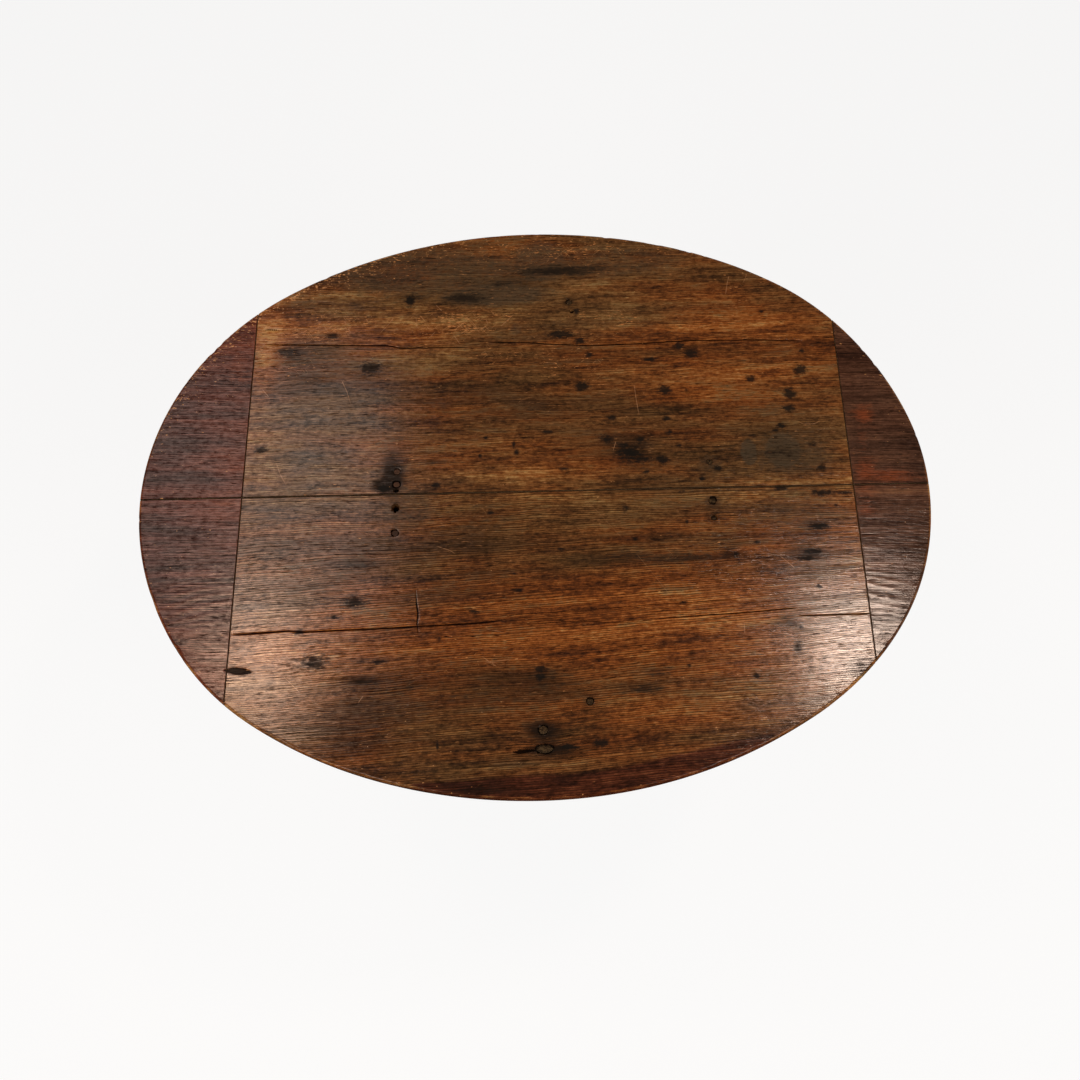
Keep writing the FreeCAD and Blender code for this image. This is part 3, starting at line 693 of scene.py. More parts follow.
def plank(name, x, y, end_piece, materials):
    """One board of the top. The grid runs along a seam first, then from that seam out to the rim."""
    inside, out_x, out_y = from_oval(x, y)
    inside = np.maximum(inside + sawn_departure(x, y), 0.0)
    from_ends = np.minimum(np.abs(x - left_seam), np.abs(x - right_seam)) - seam_gap / 2
    from_centre = np.abs(y - centre_seam) - seam_gap / 2

    relief, marks, (tone, warmth), stains = face_relief(x, y, inside, from_ends, from_centre, end_piece)
    rubbed = np.exp(-(((inside - rub_inset) / rub_reach) ** 2)) * (0.6 + 0.4 * drift(x, y, 13.0, 13.0, 51))
    tone = tone + 0.3 * rubbed
    finish = finish_left(x, y, end_piece) - 0.7 * rubbed
    pepper = chip_pepper(x, y, inside)
    rows = list(np.stack([x, y, table_height - relief], axis=2).swapaxes(0, 1))
    fields = list(np.stack([*marks, tone, warmth, finish, pepper, *stains], axis=2).swapaxes(0, 1))

    edge = fields[-1].copy()
    edge[:, finish_channel] = 0.75 + 0.25 * drift(x[:, -1], y[:, -1], 45.0, 45.0, 52)
    edge[:, pepper_channel] *= edge_chip_share

    rim = rows[-1]
    axis = 0 if end_piece else 1
    lean = np.abs((out_x, out_y)[axis][:, -1])
    room = 0.5 * np.hypot(x[:, -1] - x[:, 0], y[:, -1] - y[:, 0])
    for inset, level in rim_profile():
        place = rim.copy()
        place[:, axis] -= np.minimum(inset / np.maximum(lean, least_lean), room) * np.sign(rim[:, axis])
        place[:, 2] = np.minimum(level, rim[:, 2] - rim_step)
        rows.append(place)
        fields.append(edge)
    rim_rows = len(rows) - 1
    last = rows[-1]
    first = np.stack([x[:, 0], y[:, 0], np.full(len(x), underside)], axis=1)
    for share in (0.12, 0.3, 0.5, 0.7, 0.88, 1.0):
        place = last + (first - last) * share
        place[:, 2] = underside
        rows.append(place)
        fields.append(edge)

    mesh = board_mesh(name, rows, fields, rim_rows)
    finish_mesh(name, mesh, materials, [name.removesuffix("_worn")])


def path_rows(columns, pixels):
    """A path's place across the table at each column."""
    places = np.array([on_top(*pixel) for pixel in pixels])
    return np.interp(columns, places[:, 0], places[:, 1])


def main_board(name, side, materials):
    """A wide board between the end seams: side is +1 for the rear one and -1 for the front one."""
    ends = seam_gap / 2
    crowds = [(left_seam, *seam_crowd), (right_seam, *seam_crowd)]
    shown = [fastener for fastener in fasteners if fastener[1] * side > 0]
    crowds += [(middle, *fastener_crowd) for middle in sorted({fastener[0] for fastener in shown})]
    if side < 0:
        crowds.append((on_top(*gash[0])[0], *gash_crowd))
    columns = crowded(left_seam + ends, right_seam - ends, board_steps[0], crowds)[0]
    inner = centre_seam + side * ends
    outer = rim_across(columns, side)
    lines = (rear_split_left + rear_split_right,)
    if side < 0:
        lines = (
            front_split + front_split_on[1:], front_split_strand[:-1] + front_split_right, front_split_end,
        )
    crowds = [(inner, *middle_crowd), (outer, *rim_crowd)]
    crowds += [(path_rows(columns, line), *split_crowd) for line in lines]
    for fastener in shown:
        much = head_crowd * np.exp(-(((columns - fastener[0]) / head_reach) ** 2))
        crowds.append((fastener[1], much, head_reach / 2))
    across = crowded(np.full_like(columns, inner), outer, board_steps[1], crowds)
    along = np.repeat(columns[:, None], across.shape[1], axis=1)
    plank(name, along, across, False, materials)


def end_board(name, end, side, materials):
    """One of the four pieces that lengthen the top: end is -1 at the left, side -1 at the front."""
    seam = left_seam if end < 0 else right_seam
    inner = seam + end * seam_gap / 2
    tip = rim_across(np.array([inner + end * tip_width]), side)[0]
    start = centre_seam + side * seam_gap / 2
    rows = crowded(start, tip, end_steps[0], [(start, *seam_crowd), (tip, *tip_crowd)])[0]
    outer = rim_along(rows, end)
    outer[-1] = inner + end * tip_width
    crowds = [(inner, *seam_crowd), (outer, *rim_crowd)]
    along = crowded(np.full_like(rows, inner), outer, end_steps[1], crowds)
    across = np.repeat(rows[:, None], along.shape[1], axis=1)
    plank(name, along, across, True, materials)


# Materials

# Where the grain's slant grows across the front board, in millimetres, and how rough its worn varnish is
slant_start = -10.0
slant_end = -130.0
surface_roughness = 0.15

# Directions of the fine scuffs that cross the grain, in degrees
scuff_turns = (52.0, -38.0)


def linear(code):
    """A colour as Blender wants it, from an sRGB hex value."""
    channels = [int(code[k:k + 2], 16) / 255 for k in (1, 3, 5)]
    return tuple(c / 12.92 if c <= 0.04045 else ((c + 0.055) / 1.055) ** 2.4 for c in channels) + (1.0,)


def add_node(tree, kind, inputs=None, stops=(), **settings):
    """Adds a node with its settings; inputs maps a socket to a value or to the output that feeds it."""
    made = tree.nodes.new("ShaderNode" + kind)
    for name, value in settings.items():
        setattr(made, name, value)
    for socket, value in (inputs or {}).items():
        if isinstance(value, bpy.types.NodeSocket):
            tree.links.new(value, made.inputs[socket])
        else:
            made.inputs[socket].default_value = value
    if stops:
        ramp = made.color_ramp
        while len(ramp.elements) < len(stops):
            ramp.elements.new(0.5)
        for element, (position, code) in zip(ramp.elements, stops):
            element.position = position
            element.color = linear(code)
    return made


def new_material(name):
    """An empty node material and its tree."""
    material = bpy.data.materials.new(name)
    material.use_nodes = True
    material.node_tree.nodes.clear()
    return material, material.node_tree


def wood_pattern(tree, place, along, across, detail, roughness=0.55):
    """Noise stretched to streaks of a real size: millimetres along the grain, which runs in X, and across."""
    scaled = add_node(tree, "VectorMath", {0: place, 1: (metre / along, metre / across, metre / across)},
                      operation="MULTIPLY")
    noise = add_node(tree, "TexNoise", {
        "Vector": scaled.outputs[0], "Scale": 1.0, "Detail": detail, "Roughness": roughness,
    })
    return noise.outputs[0]


def summed(tree, start, *terms):
    """start plus each pattern times its weight."""
    total = start
    for pattern, weight in terms:
        total = add_node(tree, "Math", {0: pattern, 1: weight, 2: total}, operation="MULTIPLY_ADD").outputs[0]
    return total


def weighed(tree, start, *terms):
    """start plus each (pattern, weight), less half the weight, so that a middling pattern adds nothing."""
    total = summed(tree, start, *terms)
    middle = sum(weight for pattern, weight in terms) / 2
    return add_node(tree, "Math", {0: total, 1: middle}, operation="SUBTRACT").outputs[0]


def coat(tree, under, over, amount, low, high, most):
    """Lays one colour over another where an amount rises from low to high: the new colour, and its share."""
    share = add_node(tree, "MapRange", {0: amount, 1: low, 2: high, 3: 0.0, 4: most},
                     interpolation_type="SMOOTHSTEP").outputs[0]
    laid = add_node(tree, "Mix", {0: share, 6: under, 7: over}, data_type="RGBA", blend_type="MIX")
    return laid.outputs[2], share


# How far the growth rings lean: millimetres across for each millimetre down through a board
ring_lean = 0.8

# In millimetres: how far the grain wanders and how high it stands on the worn face, how high it stands on the
# frame, how far wear reaches in from the frame's edges, and how deep the iron is pitted
grain_wander = 10.0
grain_relief = 0.05
frame_relief = 0.3
edge_wear = 3.0
iron_pitting = 0.4


def grain_place(tree, slopes):
    """Places in a board, with X along its grain, which wanders and whose slope changes from rear to front."""
    place = add_node(tree, "TexCoord").outputs["Object"]
    depth = add_node(tree, "SeparateXYZ", {0: place}).outputs[1]
    slope = add_node(tree, "MapRange", {
        0: depth, 1: slant_start * millimetre, 2: slant_end * millimetre,
        3: -math.radians(slopes[0]), 4: -math.radians(slopes[1]),
    }, interpolation_type="SMOOTHSTEP").outputs[0]
    wander = add_node(tree, "TexNoise", {"Vector": place, "Scale": 7.0, "Detail": 3.0})
    sideways = (0.0, grain_wander * millimetre, 0.0)
    place = add_node(tree, "VectorMath", {0: wander.outputs[1], 1: sideways, 2: place},
                     operation="MULTIPLY_ADD").outputs[0]
    return add_node(tree, "VectorRotate", {0: place, "Angle": slope}, rotation_type="Z_AXIS").outputs[0]


def growth_rings(tree, place, ring_width, bands, lines):
    """Growth lines a few millimetres apart, which crowd and spread as the bands do and lean in the board."""
    turns = 2 * math.pi / (ring_width * millimetre)
    row = add_node(tree, "VectorMath", {0: place, 1: (0.0, turns, turns * ring_lean)},
                   operation="DOT_PRODUCT").outputs["Value"]
    row = weighed(tree, row, (bands, 24.0), (lines, 3.2))
    rings = add_node(tree, "Math", {0: row}, operation="SINE").outputs[0]
    return summed(tree, 0.5, (rings, 0.5))


def worn_stained_pine(name, slopes, ring_width, line_share, finish_stops, shine, mottle):
    """Old pine, planed by hand, stained and varnished, then worn by two centuries of use.
    The eye sees fine dark growth lines on orange-brown wood, olive-dark grime in drifts, ink-dark spots,
    the redder unworn finish, tan chips at the rim, and a soft sheen that the raised grain breaks up. The
    splits, holes, seams and rings round the heads are painted near black as shade, and some of the grey is
    painted sheen."""
    material, tree = new_material(name)
    place = grain_place(tree, slopes)
    fields = [add_node(tree, "Attribute", attribute_name=field) for field in ("marks", "tones", "stains")]
    (stain, hollow_shade, scar), (tone, warmth, left_finish), (smudge, bloom, red) = [
        add_node(tree, "SeparateColor", {0: field.outputs["Color"]}).outputs for field in fields
    ]
    scar_near, pepper, flecked = [field.outputs["Alpha"] for field in fields]

    # Patterns of the wood and its wear: millimetres along and across the grain, detail and roughness
    bands = wood_pattern(tree, place, 540.0, 17.0, 3.0)
    lines = wood_pattern(tree, place, 150.0, 2.4, 4.0, 0.7)
    islands = wood_pattern(tree, place, 46.0, 9.0, 6.0, 0.68)
    threads = wood_pattern(tree, place, 50.0, 1.0, 2.0, 0.65)
    dashes = wood_pattern(tree, place, 12.0, 1.0, 2.0, 0.6)
    clouds = wood_pattern(tree, place, 120.0, 42.0, 8.0, 0.7)
    blots = wood_pattern(tree, place, 8.0, 4.0, 4.0, 0.7)
    specks = wood_pattern(tree, place, 3.4, 1.5, 1.0, 0.6)
    flecks = wood_pattern(tree, place, 9.0, 1.2, 1.0, 0.5)
    frays = wood_pattern(tree, place, 5.0, 2.6, 3.0, 0.65)
    swells = wood_pattern(tree, place, 150.0, 30.0, 4.0, 0.6)
    rings = growth_rings(tree, place, ring_width, bands, lines)

    # The wood, worn or dulled to olive, then grime and what is left of the finish
    value = weighed(
        tree, summed(tree, 0.5, (tone, 1.0)), (bands, 0.8), (lines, 0.4), (threads, 1.0),
        (clouds, 1.1 * mottle), (islands, 1.5 * mottle), (blots, 1.2 * mottle),
    )
    worn, olive, dirt, finish = [
        add_node(tree, "ValToRGB", {0: value}, stops).outputs[0]
        for stops in (worn_stops, olive_stops, grime_stops, finish_stops)
    ]
    dull = weighed(tree, summed(tree, 0.5, (warmth, -1.6)), (swells, 1.9), (islands, 0.8))
    colour = coat(tree, worn, olive, dull, 0.0, 1.0, 1.0)[0]
    grime = summed(tree, 0.5, (tone, -2.4))
    grime = weighed(tree, grime, (clouds, 2.0), (lines, 0.8), (islands, 1.4), (blots, 0.8))
    colour = coat(tree, colour, dirt, grime, 0.44, 0.94, 0.82)[0]
    unworn = weighed(tree, left_finish, (clouds, 0.9), (lines, 0.6))
    colour, unworn = coat(tree, colour, finish, unworn, 0.3, 0.62, 0.88)

    # Red glow, grey bloom and grey painted sheen, growth lines, pores, pale flecks and scuffs, then stains,
    # spots, and the painted shade of the splits, holes and seams
    flush = weighed(tree, red, (islands, 1.8), (lines, 1.0), (threads, 0.6), (blots, 1.0))
    colour = coat(tree, colour, linear("#7c3d20"), flush, 0.25, 1.0, 0.8)[0]
    # Grey bloom, with grey painted sheen at the left and the right of the boards
    grey_bloom_and_sheen = weighed(tree, bloom, (islands, 0.8), (frays, 0.8), (blots, 0.4))
    colour, grey_bloom_and_sheen = coat(tree, colour, linear("#463c2e"), grey_bloom_and_sheen, 0.25, 0.95, 0.76)

    late = weighed(tree, rings, (threads, 0.7), (islands, 1.5 * mottle), (clouds, 1.2 * mottle))
    colour, late = coat(tree, colour, linear("#1f1108"), late, 0.64, 0.88, line_share)
    colour, pores = coat(tree, colour, linear("#140b06"), dashes, 0.58, 0.65, 0.7)
    ground = weighed(tree, flecks, (clouds, 0.3), (unworn, -0.3))
    colour = coat(tree, colour, linear("#9c6b43"), ground, 0.83, 0.93, 0.42)[0]
    rubbed = weighed(tree, flecks, (specks, 0.6), (clouds, 0.4), (flecked, 0.30))
    colour = coat(tree, colour, linear("#c28049"), rubbed, 0.71, 0.79, 0.78)[0]
    for turn in scuff_turns:
        turned = add_node(tree, "VectorRotate", {0: place, "Angle": math.radians(turn)},
                          rotation_type="Z_AXIS").outputs[0]
        scuffs = wood_pattern(tree, turned, 13.0, 0.9, 1.0, 0.5)
        scuffs = weighed(tree, scuffs, (clouds, 0.5), (flecked, 0.24))
        colour = coat(tree, colour, linear("#a8784c"), scuffs, 0.70, 0.78, 0.55)[0]
    smear = summed(tree, 0.0, (smudge, 2.2))
    smear = weighed(tree, smear, (islands, 1.3), (lines, 0.9), (blots, 1.0), (frays, 0.8))
    colour, smear = coat(tree, colour, linear("#1b1511"), smear, 0.2, 0.85, 0.85)
    ink = weighed(tree, stain, (frays, 1.25), (lines, 0.5), (islands, 0.4))
    colour = coat(tree, colour, linear("#1f150e"), ink, 0.20, 0.54, 0.52)[0]
    colour, ink = coat(tree, colour, linear("#161513"), ink, 0.43, 0.70, 0.80)
    # Painted shade, near black, in the splits, gouges, open holes, seams and the rings round the heads
    pit = weighed(tree, hollow_shade, (blots, 0.25), (dashes, 0.25))
    colour, pit = coat(tree, colour, linear("#080504"), pit, 0.48, 0.66, 0.95)

    # Pale scratches, broken by the blots, and the tan chips of the rim
    off_line = add_node(tree, "Math", {0: scar}, operation="ABSOLUTE").outputs[0]
    on_line = add_node(tree, "MapRange", {0: off_line, 1: 0.15, 2: 0.6, 3: 0.95, 4: 0.0}).outputs[0]
    for share in (scar_near, blots):
        on_line = add_node(tree, "Math", {0: on_line, 1: share}, operation="MULTIPLY").outputs[0]
    colour = coat(tree, colour, linear("#a87a55"), on_line, 0.0, 1.0, 1.0)[0]
    chips = weighed(tree, pepper, (specks, 1.7), (flecks, 1.0), (blots, 1.2))
    colour, chips = coat(tree, colour, linear("#bb8450"), chips, 0.60, 0.78, 0.92)

    # The varnish has gone from the dark lines and the sawn rim, and these break up what the surface mirrors
    gloss = weighed(tree, shine, (lines, 0.4), (threads, 1.1), (blots, 1.2))
    gloss = summed(tree, gloss, (late, -0.25), (pores, -0.45), (smear, -0.45), (grey_bloom_and_sheen, -0.25), (ink, -0.5),
                   (pit, -0.8))
    gloss = add_node(tree, "Math", {0: gloss, 1: 0.03}, operation="MAXIMUM").outputs[0]
    facing = add_node(tree, "NewGeometry").outputs["Normal"]
    level = add_node(tree, "SeparateXYZ", {0: facing}).outputs[2]
    level = add_node(tree, "MapRange", {0: level, 1: 0.86, 2: 0.985, 3: 0.0, 4: 1.0}).outputs[0]
    gloss = add_node(tree, "Math", {0: gloss, 1: level}, operation="MULTIPLY").outputs[0]
    rough = weighed(tree, surface_roughness, (blots, 0.10), (clouds, 0.08))
    height = weighed(tree, 0.0, (lines, 0.9), (threads, 0.7), (rings, 0.25))
    height = summed(tree, height, (pores, -0.4), (chips, -0.5))
    bump = add_node(tree, "Bump", {"Height": height, "Distance": grain_relief * millimetre, "Strength": 1.0})
    shader = add_node(tree, "BsdfPrincipled", {
        "Base Color": colour, "Roughness": rough, "Normal": bump.outputs[0], "IOR": 1.47,
        "Specular IOR Level": gloss,
    })
    add_node(tree, "OutputMaterial", {"Surface": shader.outputs[0]})
    return material


def bare_wood(name, grain, stops, streak, shine, edge_code, trodden=0.0):
    """Wood of the frame and underside, its grain along one axis: streaks and pores along it, paler wear on
    the edges and, on what feet rest on, a rubbed upper face."""
    material, tree = new_material(name)
    place = add_node(tree, "TexCoord").outputs["Object"]
    turn = {"X": (0.0, 0.0, 0.0), "Y": (0.0, 0.0, math.pi / 2), "Z": (0.0, math.pi / 2, 0.0)}[grain]
    place = add_node(tree, "VectorRotate", {0: place, "Rotation": turn}, rotation_type="EULER_XYZ").outputs[0]
    streaks = wood_pattern(tree, place, streak * 40.0, streak, 4.0, 0.6)
    clouds = wood_pattern(tree, place, 110.0, 45.0, 4.0, 0.6)
    pores = wood_pattern(tree, place, 14.0, 1.2, 2.0)
    value = weighed(tree, 0.5, (streaks, 0.8), (clouds, 0.8), (pores, 0.25))
    colour = add_node(tree, "ValToRGB", {0: value}, stops).outputs[0]
    flat = add_node(tree, "NewGeometry").outputs["Normal"]
    bent = add_node(tree, "Bevel", {"Radius": edge_wear * millimetre}, samples=4).outputs[0]
    alike = add_node(tree, "VectorMath", {0: flat, 1: bent}, operation="DOT_PRODUCT").outputs["Value"]
    bend = add_node(tree, "Math", {0: 1.0, 1: alike}, operation="SUBTRACT").outputs[0]
    bend = weighed(tree, bend, (clouds, 0.10), (pores, 0.06))
    colour = coat(tree, colour, linear(edge_code), bend, 0.02, 0.14, 0.7)[0]
    upward = add_node(tree, "SeparateXYZ", {0: flat}).outputs[2]
    upward = weighed(tree, upward, (clouds, 1.6), (streaks, 0.8))
    colour = coat(tree, colour, linear(edge_code), upward, 0.45, 1.1, trodden)[0]
    rough = weighed(tree, shine, (streaks, 0.2), (clouds, 0.15))
    height = weighed(tree, 0.0, (streaks, 0.7), (pores, 0.5))
    bump = add_node(tree, "Bump", {"Height": height, "Distance": frame_relief * millimetre, "Strength": 0.7})
    shader = add_node(tree, "BsdfPrincipled", {
        "Base Color": colour, "Roughness": rough, "Normal": bump.outputs[0], "IOR": 1.5,
        "Specular IOR Level": 0.25,
    })
    add_node(tree, "OutputMaterial", {"Surface": shader.outputs[0]})
    return material


def forged_iron(name):
    """Wrought iron, forged by hand and long rusted: nearly black, brown bloom and a dull pitted sheen."""
    material, tree = new_material(name)
    place = add_node(tree, "TexCoord").outputs["Object"]
    bloom = wood_pattern(tree, place, 3.0, 3.0, 4.0, 0.65)
    pits = wood_pattern(tree, place, 1.1, 1.1, 2.0)
    colour = add_node(tree, "ValToRGB", {0: bloom}, (
        (0.30, "#1c1510"), (0.50, "#3a2d20"), (0.64, "#5c4a33"), (0.80, "#3c2614"),
    )).outputs[0]
    rough = weighed(tree, 0.6, (bloom, 0.3))
    bump = add_node(tree, "Bump", {"Height": pits, "Distance": iron_pitting * millimetre, "Strength": 0.8})
    shader = add_node(tree, "BsdfPrincipled", {
        "Base Color": colour, "Roughness": rough, "Normal": bump.outputs[0], "Metallic": 1.0,
    })
    add_node(tree, "OutputMaterial", {"Surface": shader.outputs[0]})
    return material


# Colours of grime, of dulled and of worn wood, and of the finish on each part of the top, from dark to light
grime_stops = ((0.0, "#120c08"), (0.35, "#291b12"), (0.6, "#3d2a1b"), (1.0, "#5f452c"))
olive_stops = (
    (0.0, "#1e140c"), (0.28, "#3c2915"), (0.48, "#593c20"),
    (0.66, "#704d2a"), (0.84, "#8a653a"), (1.0, "#a78552"),
)
worn_stops = (
    (0.0, "#27140b"), (0.28, "#512b12"), (0.48, "#743e19"),
    (0.66, "#8e5122"), (0.84, "#a66a36"), (1.0, "#be8b4f"),
)
board_finish_stops = (
    (0.0, "#140907"), (0.35, "#2d140d"), (0.55, "#431d12"), (0.8, "#5e2e1b"), (1.0, "#7f482b"),
)
left_finish_stops = (
    (0.0, "#160a08"), (0.3, "#311510"), (0.5, "#4a2018"),
    (0.68, "#622d21"), (0.85, "#7a3b29"), (1.0, "#914b2f"),
)
right_finish_stops = (
    (0.0, "#130b08"), (0.3, "#2a1912"), (0.5, "#3e281e"),
    (0.68, "#513529"), (0.85, "#674432"), (1.0, "#7e5439"),
)

# The woods of the top, the battens, the base and the pegs, and the iron
rear_pine = worn_stained_pine(
    "worn stained pine, hand planed", (0.5, 0.5), 1.9, 0.56, board_finish_stops, 0.5, 1.0,
)
front_pine = worn_stained_pine(
    "worn stained pine, hand planed, slant grain", (0.5, 3.3), 2.3, 0.70, board_finish_stops, 0.5, 1.0,
)
left_end_pine = worn_stained_pine(
    "unworn red stained pine, hand planed", (-2.0, -2.0), 2.1, 0.38, left_finish_stops, 0.34, 0.55,
)
right_end_pine = worn_stained_pine(
    "unworn brown stained pine, hand planed", (-2.0, -2.0), 2.1, 0.46, right_finish_stops, 0.43, 0.6,
)
sawn_pine = bare_wood(
    "bare aged pine, sawn", "X",
    ((0.0, "#3a2a1c"), (0.35, "#5a4430"), (0.55, "#745a3f"), (0.8, "#8c7150"), (1.0, "#a58a66")),
    3.0, 0.72, "#9a7d58",
)
batten_pine = bare_wood(
    "bare aged pine, sawn, across", "Y",
    ((0.0, "#34261a"), (0.35, "#523d2b"), (0.55, "#6b5239"), (0.8, "#83684a"), (1.0, "#9b805d")),
    3.0, 0.72, "#957853",
)
maple_stops = ((0.0, "#1d110b"), (0.3, "#382114"), (0.5, "#4e2f1b"), (0.7, "#643f25"), (1.0, "#7f5635"))
maples = {
    grain: bare_wood("stained maple, rubbed, grain " + grain.lower(), grain, maple_stops, 2.4, 0.46,
                     "#8a6340")
    for grain in "XYZ"
}
rubbed_maples = {
    grain: bare_wood("stained maple, rubbed by feet, grain " + grain.lower(), grain, maple_stops, 2.4, 0.42,
                     "#946c48", 0.85)
    for grain in "XY"
}
peg_oak = bare_wood(
    "split oak pegs", "Z",
    ((0.0, "#140b07"), (0.4, "#2c190f"), (0.6, "#412817"), (1.0, "#5f3f26")),
    1.6, 0.7, "#4a3020",
)
nail_iron = forged_iron("wrought iron, forged")

# The boards of the top
main_board("rear_top_board_worn", 1, [rear_pine, sawn_pine])
main_board("front_top_board_worn", -1, [front_pine, sawn_pine])
for end, end_name, end_pine in ((-1, "left", left_end_pine), (1, "right", right_end_pine)):
    for side, side_name in ((1, "rear"), (-1, "front")):
        end_board(end_name + "_" + side_name + "_end_piece_worn", end, side, [end_pine, sawn_pine])


# Pegs and nails

# Seed of their uneven rims, the share of the size above which a ring has the head's shape, and, in
# millimetres, the level where rings stop tilting and how far below the drawn face a head stays at least
whittle_seed = 7
head_share = 0.4
shank_level = -1.0
least_sink = 0.1


def stacked_rings(items, rings, corners, ragged):
    """Points and faces of closed forms from rings round each fastener's axis: share of its size, level."""
    points, faces = [], []
    random = np.random.default_rng(whittle_seed)
    turns = np.arange(corners) * 2 * math.pi / corners
    for middle_x, middle_y, length, width, sink, gap_shade in items:
        uneven = 1.0 + ragged * random.uniform(-1.0, 1.0, corners)
        start = len(points)
        for share, level in rings:
            wide = share > head_share
            share_x = share * (length if wide else width) / 2
            tilt = ragged * 1.5 * random.uniform(-1.0, 1.0, corners) if wide else np.zeros(corners)
            tilted = np.minimum(level + tilt, sink - least_sink)
            level_here = table_height - sink + np.where(level > shank_level, tilted, level)
            points += zip(
                middle_x + share_x * uneven * np.cos(turns),
                middle_y + share * width / 2 * uneven * np.sin(turns),
                level_here,
            )
        ids = np.arange(start, start + len(rings) * corners).reshape(len(rings), corners)
        for upper, lower in zip(ids, ids[1:]):
            after_upper, after_lower = np.roll(upper, -1), np.roll(lower, -1)
            faces += np.stack([upper, lower, after_lower, after_upper], axis=1).tolist()
        faces.append(ids[0].tolist())
        faces.append(ids[-1][::-1].tolist())
    return np.array(points) * millimetre, faces


def fastener_mesh(name, items, rings, corners, ragged, material, node):
    """All the pegs or nails of one CAD node, as one mesh."""
    points, faces = stacked_rings(items, rings, corners, ragged)
    mesh = bpy.data.meshes.new(name)
    mesh.from_pydata(points.tolist(), [], faces)
    finish_mesh(name, mesh, [material], [node], sharp=50.0)


# Share of the size and level of each ring, from the crown down
nail_rings = (
    (0.12, 0.28), (0.5, 0.20), (0.8, 0.02), (0.97, -0.28), (1.0, -0.6), (0.9, -1.05),
    (0.38, -1.1), (0.36, -3.0), (0.12, -nail_length),
)
peg_rings = (
    (0.2, 0.12), (0.55, 0.08), (0.85, -0.02), (0.96, -0.16), (1.0, -0.6), (0.98, -6.0), (0.86, -peg_length),
)
fastener_mesh("rail_nails_forged", rail_nails, nail_rings, 18, 0.07, nail_iron, "rail_nails")
fastener_mesh("batten_top_nails_forged", batten_nails, nail_rings, 18, 0.07, nail_iron,
              "batten_top_nails")
fastener_mesh("top_pegs_whittled", top_pegs, peg_rings, 14, 0.03, peg_oak, "top_pegs")

# Solids that keep their own shape
finishes = {
    "cross_batten": batten_pine, "left_end_batten": batten_pine, "right_end_batten": batten_pine,
    "seam_dowels": peg_oak, "rail_pegs": peg_oak, "stretcher_pegs": peg_oak, "end_batten_nails": nail_iron,
}
for grain, places in (("X", ("front", "rear")), ("Y", ("left", "right"))):
    for place in places:
        finishes[place + "_rail"] = maples[grain]
        finishes[place + "_stretcher"] = rubbed_maples[grain]
for leg in ("front_left", "front_right", "rear_left", "rear_right"):
    finishes[leg + "_leg"] = maples["Z"]
for node, material in finishes.items():
    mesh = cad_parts[node].data
    mesh.materials.clear()
    mesh.materials.append(material)

# The floor, which is seen as plain white: half its side, in metres, and how much of what is seen glows
floor_half = 6.0
floor_glow = 0.85
floor_mesh = bpy.data.meshes.new("floor")
floor_mesh.from_pydata(
    [(-floor_half, -floor_half, 0.0), (floor_half, -floor_half, 0.0),
     (floor_half, floor_half, 0.0), (-floor_half, floor_half, 0.0)],
    [], [(0, 1, 2, 3)],
)
floor = add_object("floor", floor_mesh)
floor_paper, tree = new_material("white studio paper, matt")
path = add_node(tree, "LightPath")
seen = path.outputs["Is Camera Ray"]
for ray in ("Is Glossy Ray", "Is Transmission Ray"):
    seen = add_node(tree, "Math", {0: seen, 1: path.outputs[ray]}, operation="MAXIMUM").outputs[0]
glow_share = add_node(tree, "Math", {0: seen, 1: floor_glow}, operation="MULTIPLY").outputs[0]
paper = add_node(tree, "BsdfDiffuse", {"Color": linear("#f4f3f1")})
glow = add_node(tree, "Emission", {"Color": linear("#ffffff"), "Strength": 1.0})
blend = add_node(tree, "MixShader", {0: glow_share, 1: paper.outputs[0], 2: glow.outputs[0]})
add_node(tree, "OutputMaterial", {"Surface": blend.outputs[0]})
floor_mesh.materials.append(floor_paper)


def standing(right, up, back, place):
    """The matrix of something that stands at a place, in metres, with its own three directions."""
    return Matrix([(right[k], up[k], back[k], place[k]) for k in range(3)] + [(0.0, 0.0, 0.0, 1.0)])


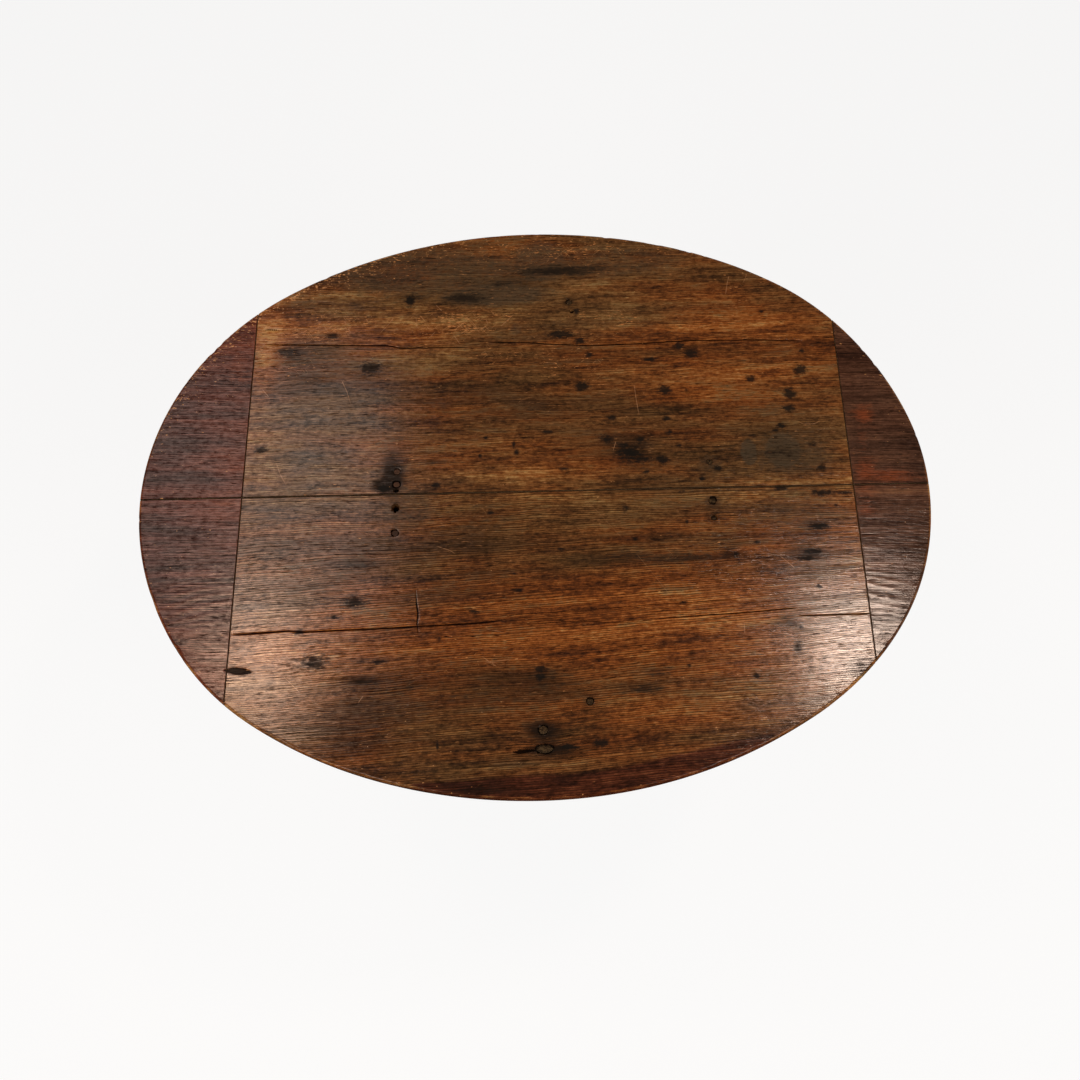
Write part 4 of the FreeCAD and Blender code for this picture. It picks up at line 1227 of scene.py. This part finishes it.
def soft_lamp(name, place, aim, size, power, code):
    """A soft rectangular lamp that hangs at place and points at aim, both in metres."""
    data = bpy.data.lights.new(name, "AREA")
    data.shape = "RECTANGLE"
    data.size, data.size_y = size
    data.energy = power
    data.color = linear(code)[:3]
    lamp = add_object(name, data)
    back = np.array(place) - np.array(aim)
    back = back / np.linalg.norm(back)
    side = np.cross((0.0, 1.0, 0.0), back)
    side = side / np.linalg.norm(side)
    up = np.cross(back, side)
    lamp.matrix_world = standing(side, up, back, place)


# The lamps: place, aim and size in metres, power in watts, and colour
soft_lamp("front_left_lamp", (-1.6, -1.9, 2.5), (0.0, 0.0, 0.6), (1.6, 1.6), 45.6, "#fffaf4")
soft_lamp("front_right_lamp", (1.7, -1.8, 2.5), (0.0, 0.0, 0.6), (1.6, 1.6), 45.6, "#fffaf4")
soft_lamp("rear_right_window", (0.93, 0.30, 2.68), (0.3, -0.15, 0.68), (0.20, 0.28), 8.5, "#ffe4d0")
soft_lamp("rear_left_window", (-0.88, 0.27, 2.68), (-0.25, -0.2, 0.68), (0.30, 0.38), 5.1, "#ffd6b8")
soft_lamp("left_wall_lamp", (-0.95, 0.85, 2.68), (-0.25, 0.0, 0.68), (0.9, 0.9), 6.0, "#ffeee2")

# The studio's walls, which give light low down and hardly any overhead
world = bpy.data.worlds.new("studio")
bpy.context.scene.world = world
world.use_nodes = True
tree = world.node_tree
tree.nodes.clear()
direction = add_node(tree, "TexCoord").outputs["Generated"]
height = add_node(tree, "SeparateXYZ", {0: direction}).outputs[2]
wall_light = add_node(tree, "MapRange", {0: height, 1: 0.10, 2: 0.55, 3: 0.70, 4: 0.05}).outputs[0]
sky = add_node(tree, "Background", {"Color": linear("#ffffff"), "Strength": wall_light})
add_node(tree, "OutputWorld", {"Surface": sky.outputs[0]})
bpy.context.scene.view_settings.view_transform = "Standard"

# The camera
camera_data = bpy.data.cameras.new("camera")
camera_data.sensor_width = sensor_width
camera_data.lens = focal_pixels / picture_side * sensor_width
camera_data.clip_end = 50.0
camera = add_object("camera", camera_data)
right, up, forward = camera_axes()
camera.matrix_world = standing(right, up, -forward, np.array(camera_place) * millimetre)
bpy.context.scene.camera = camera
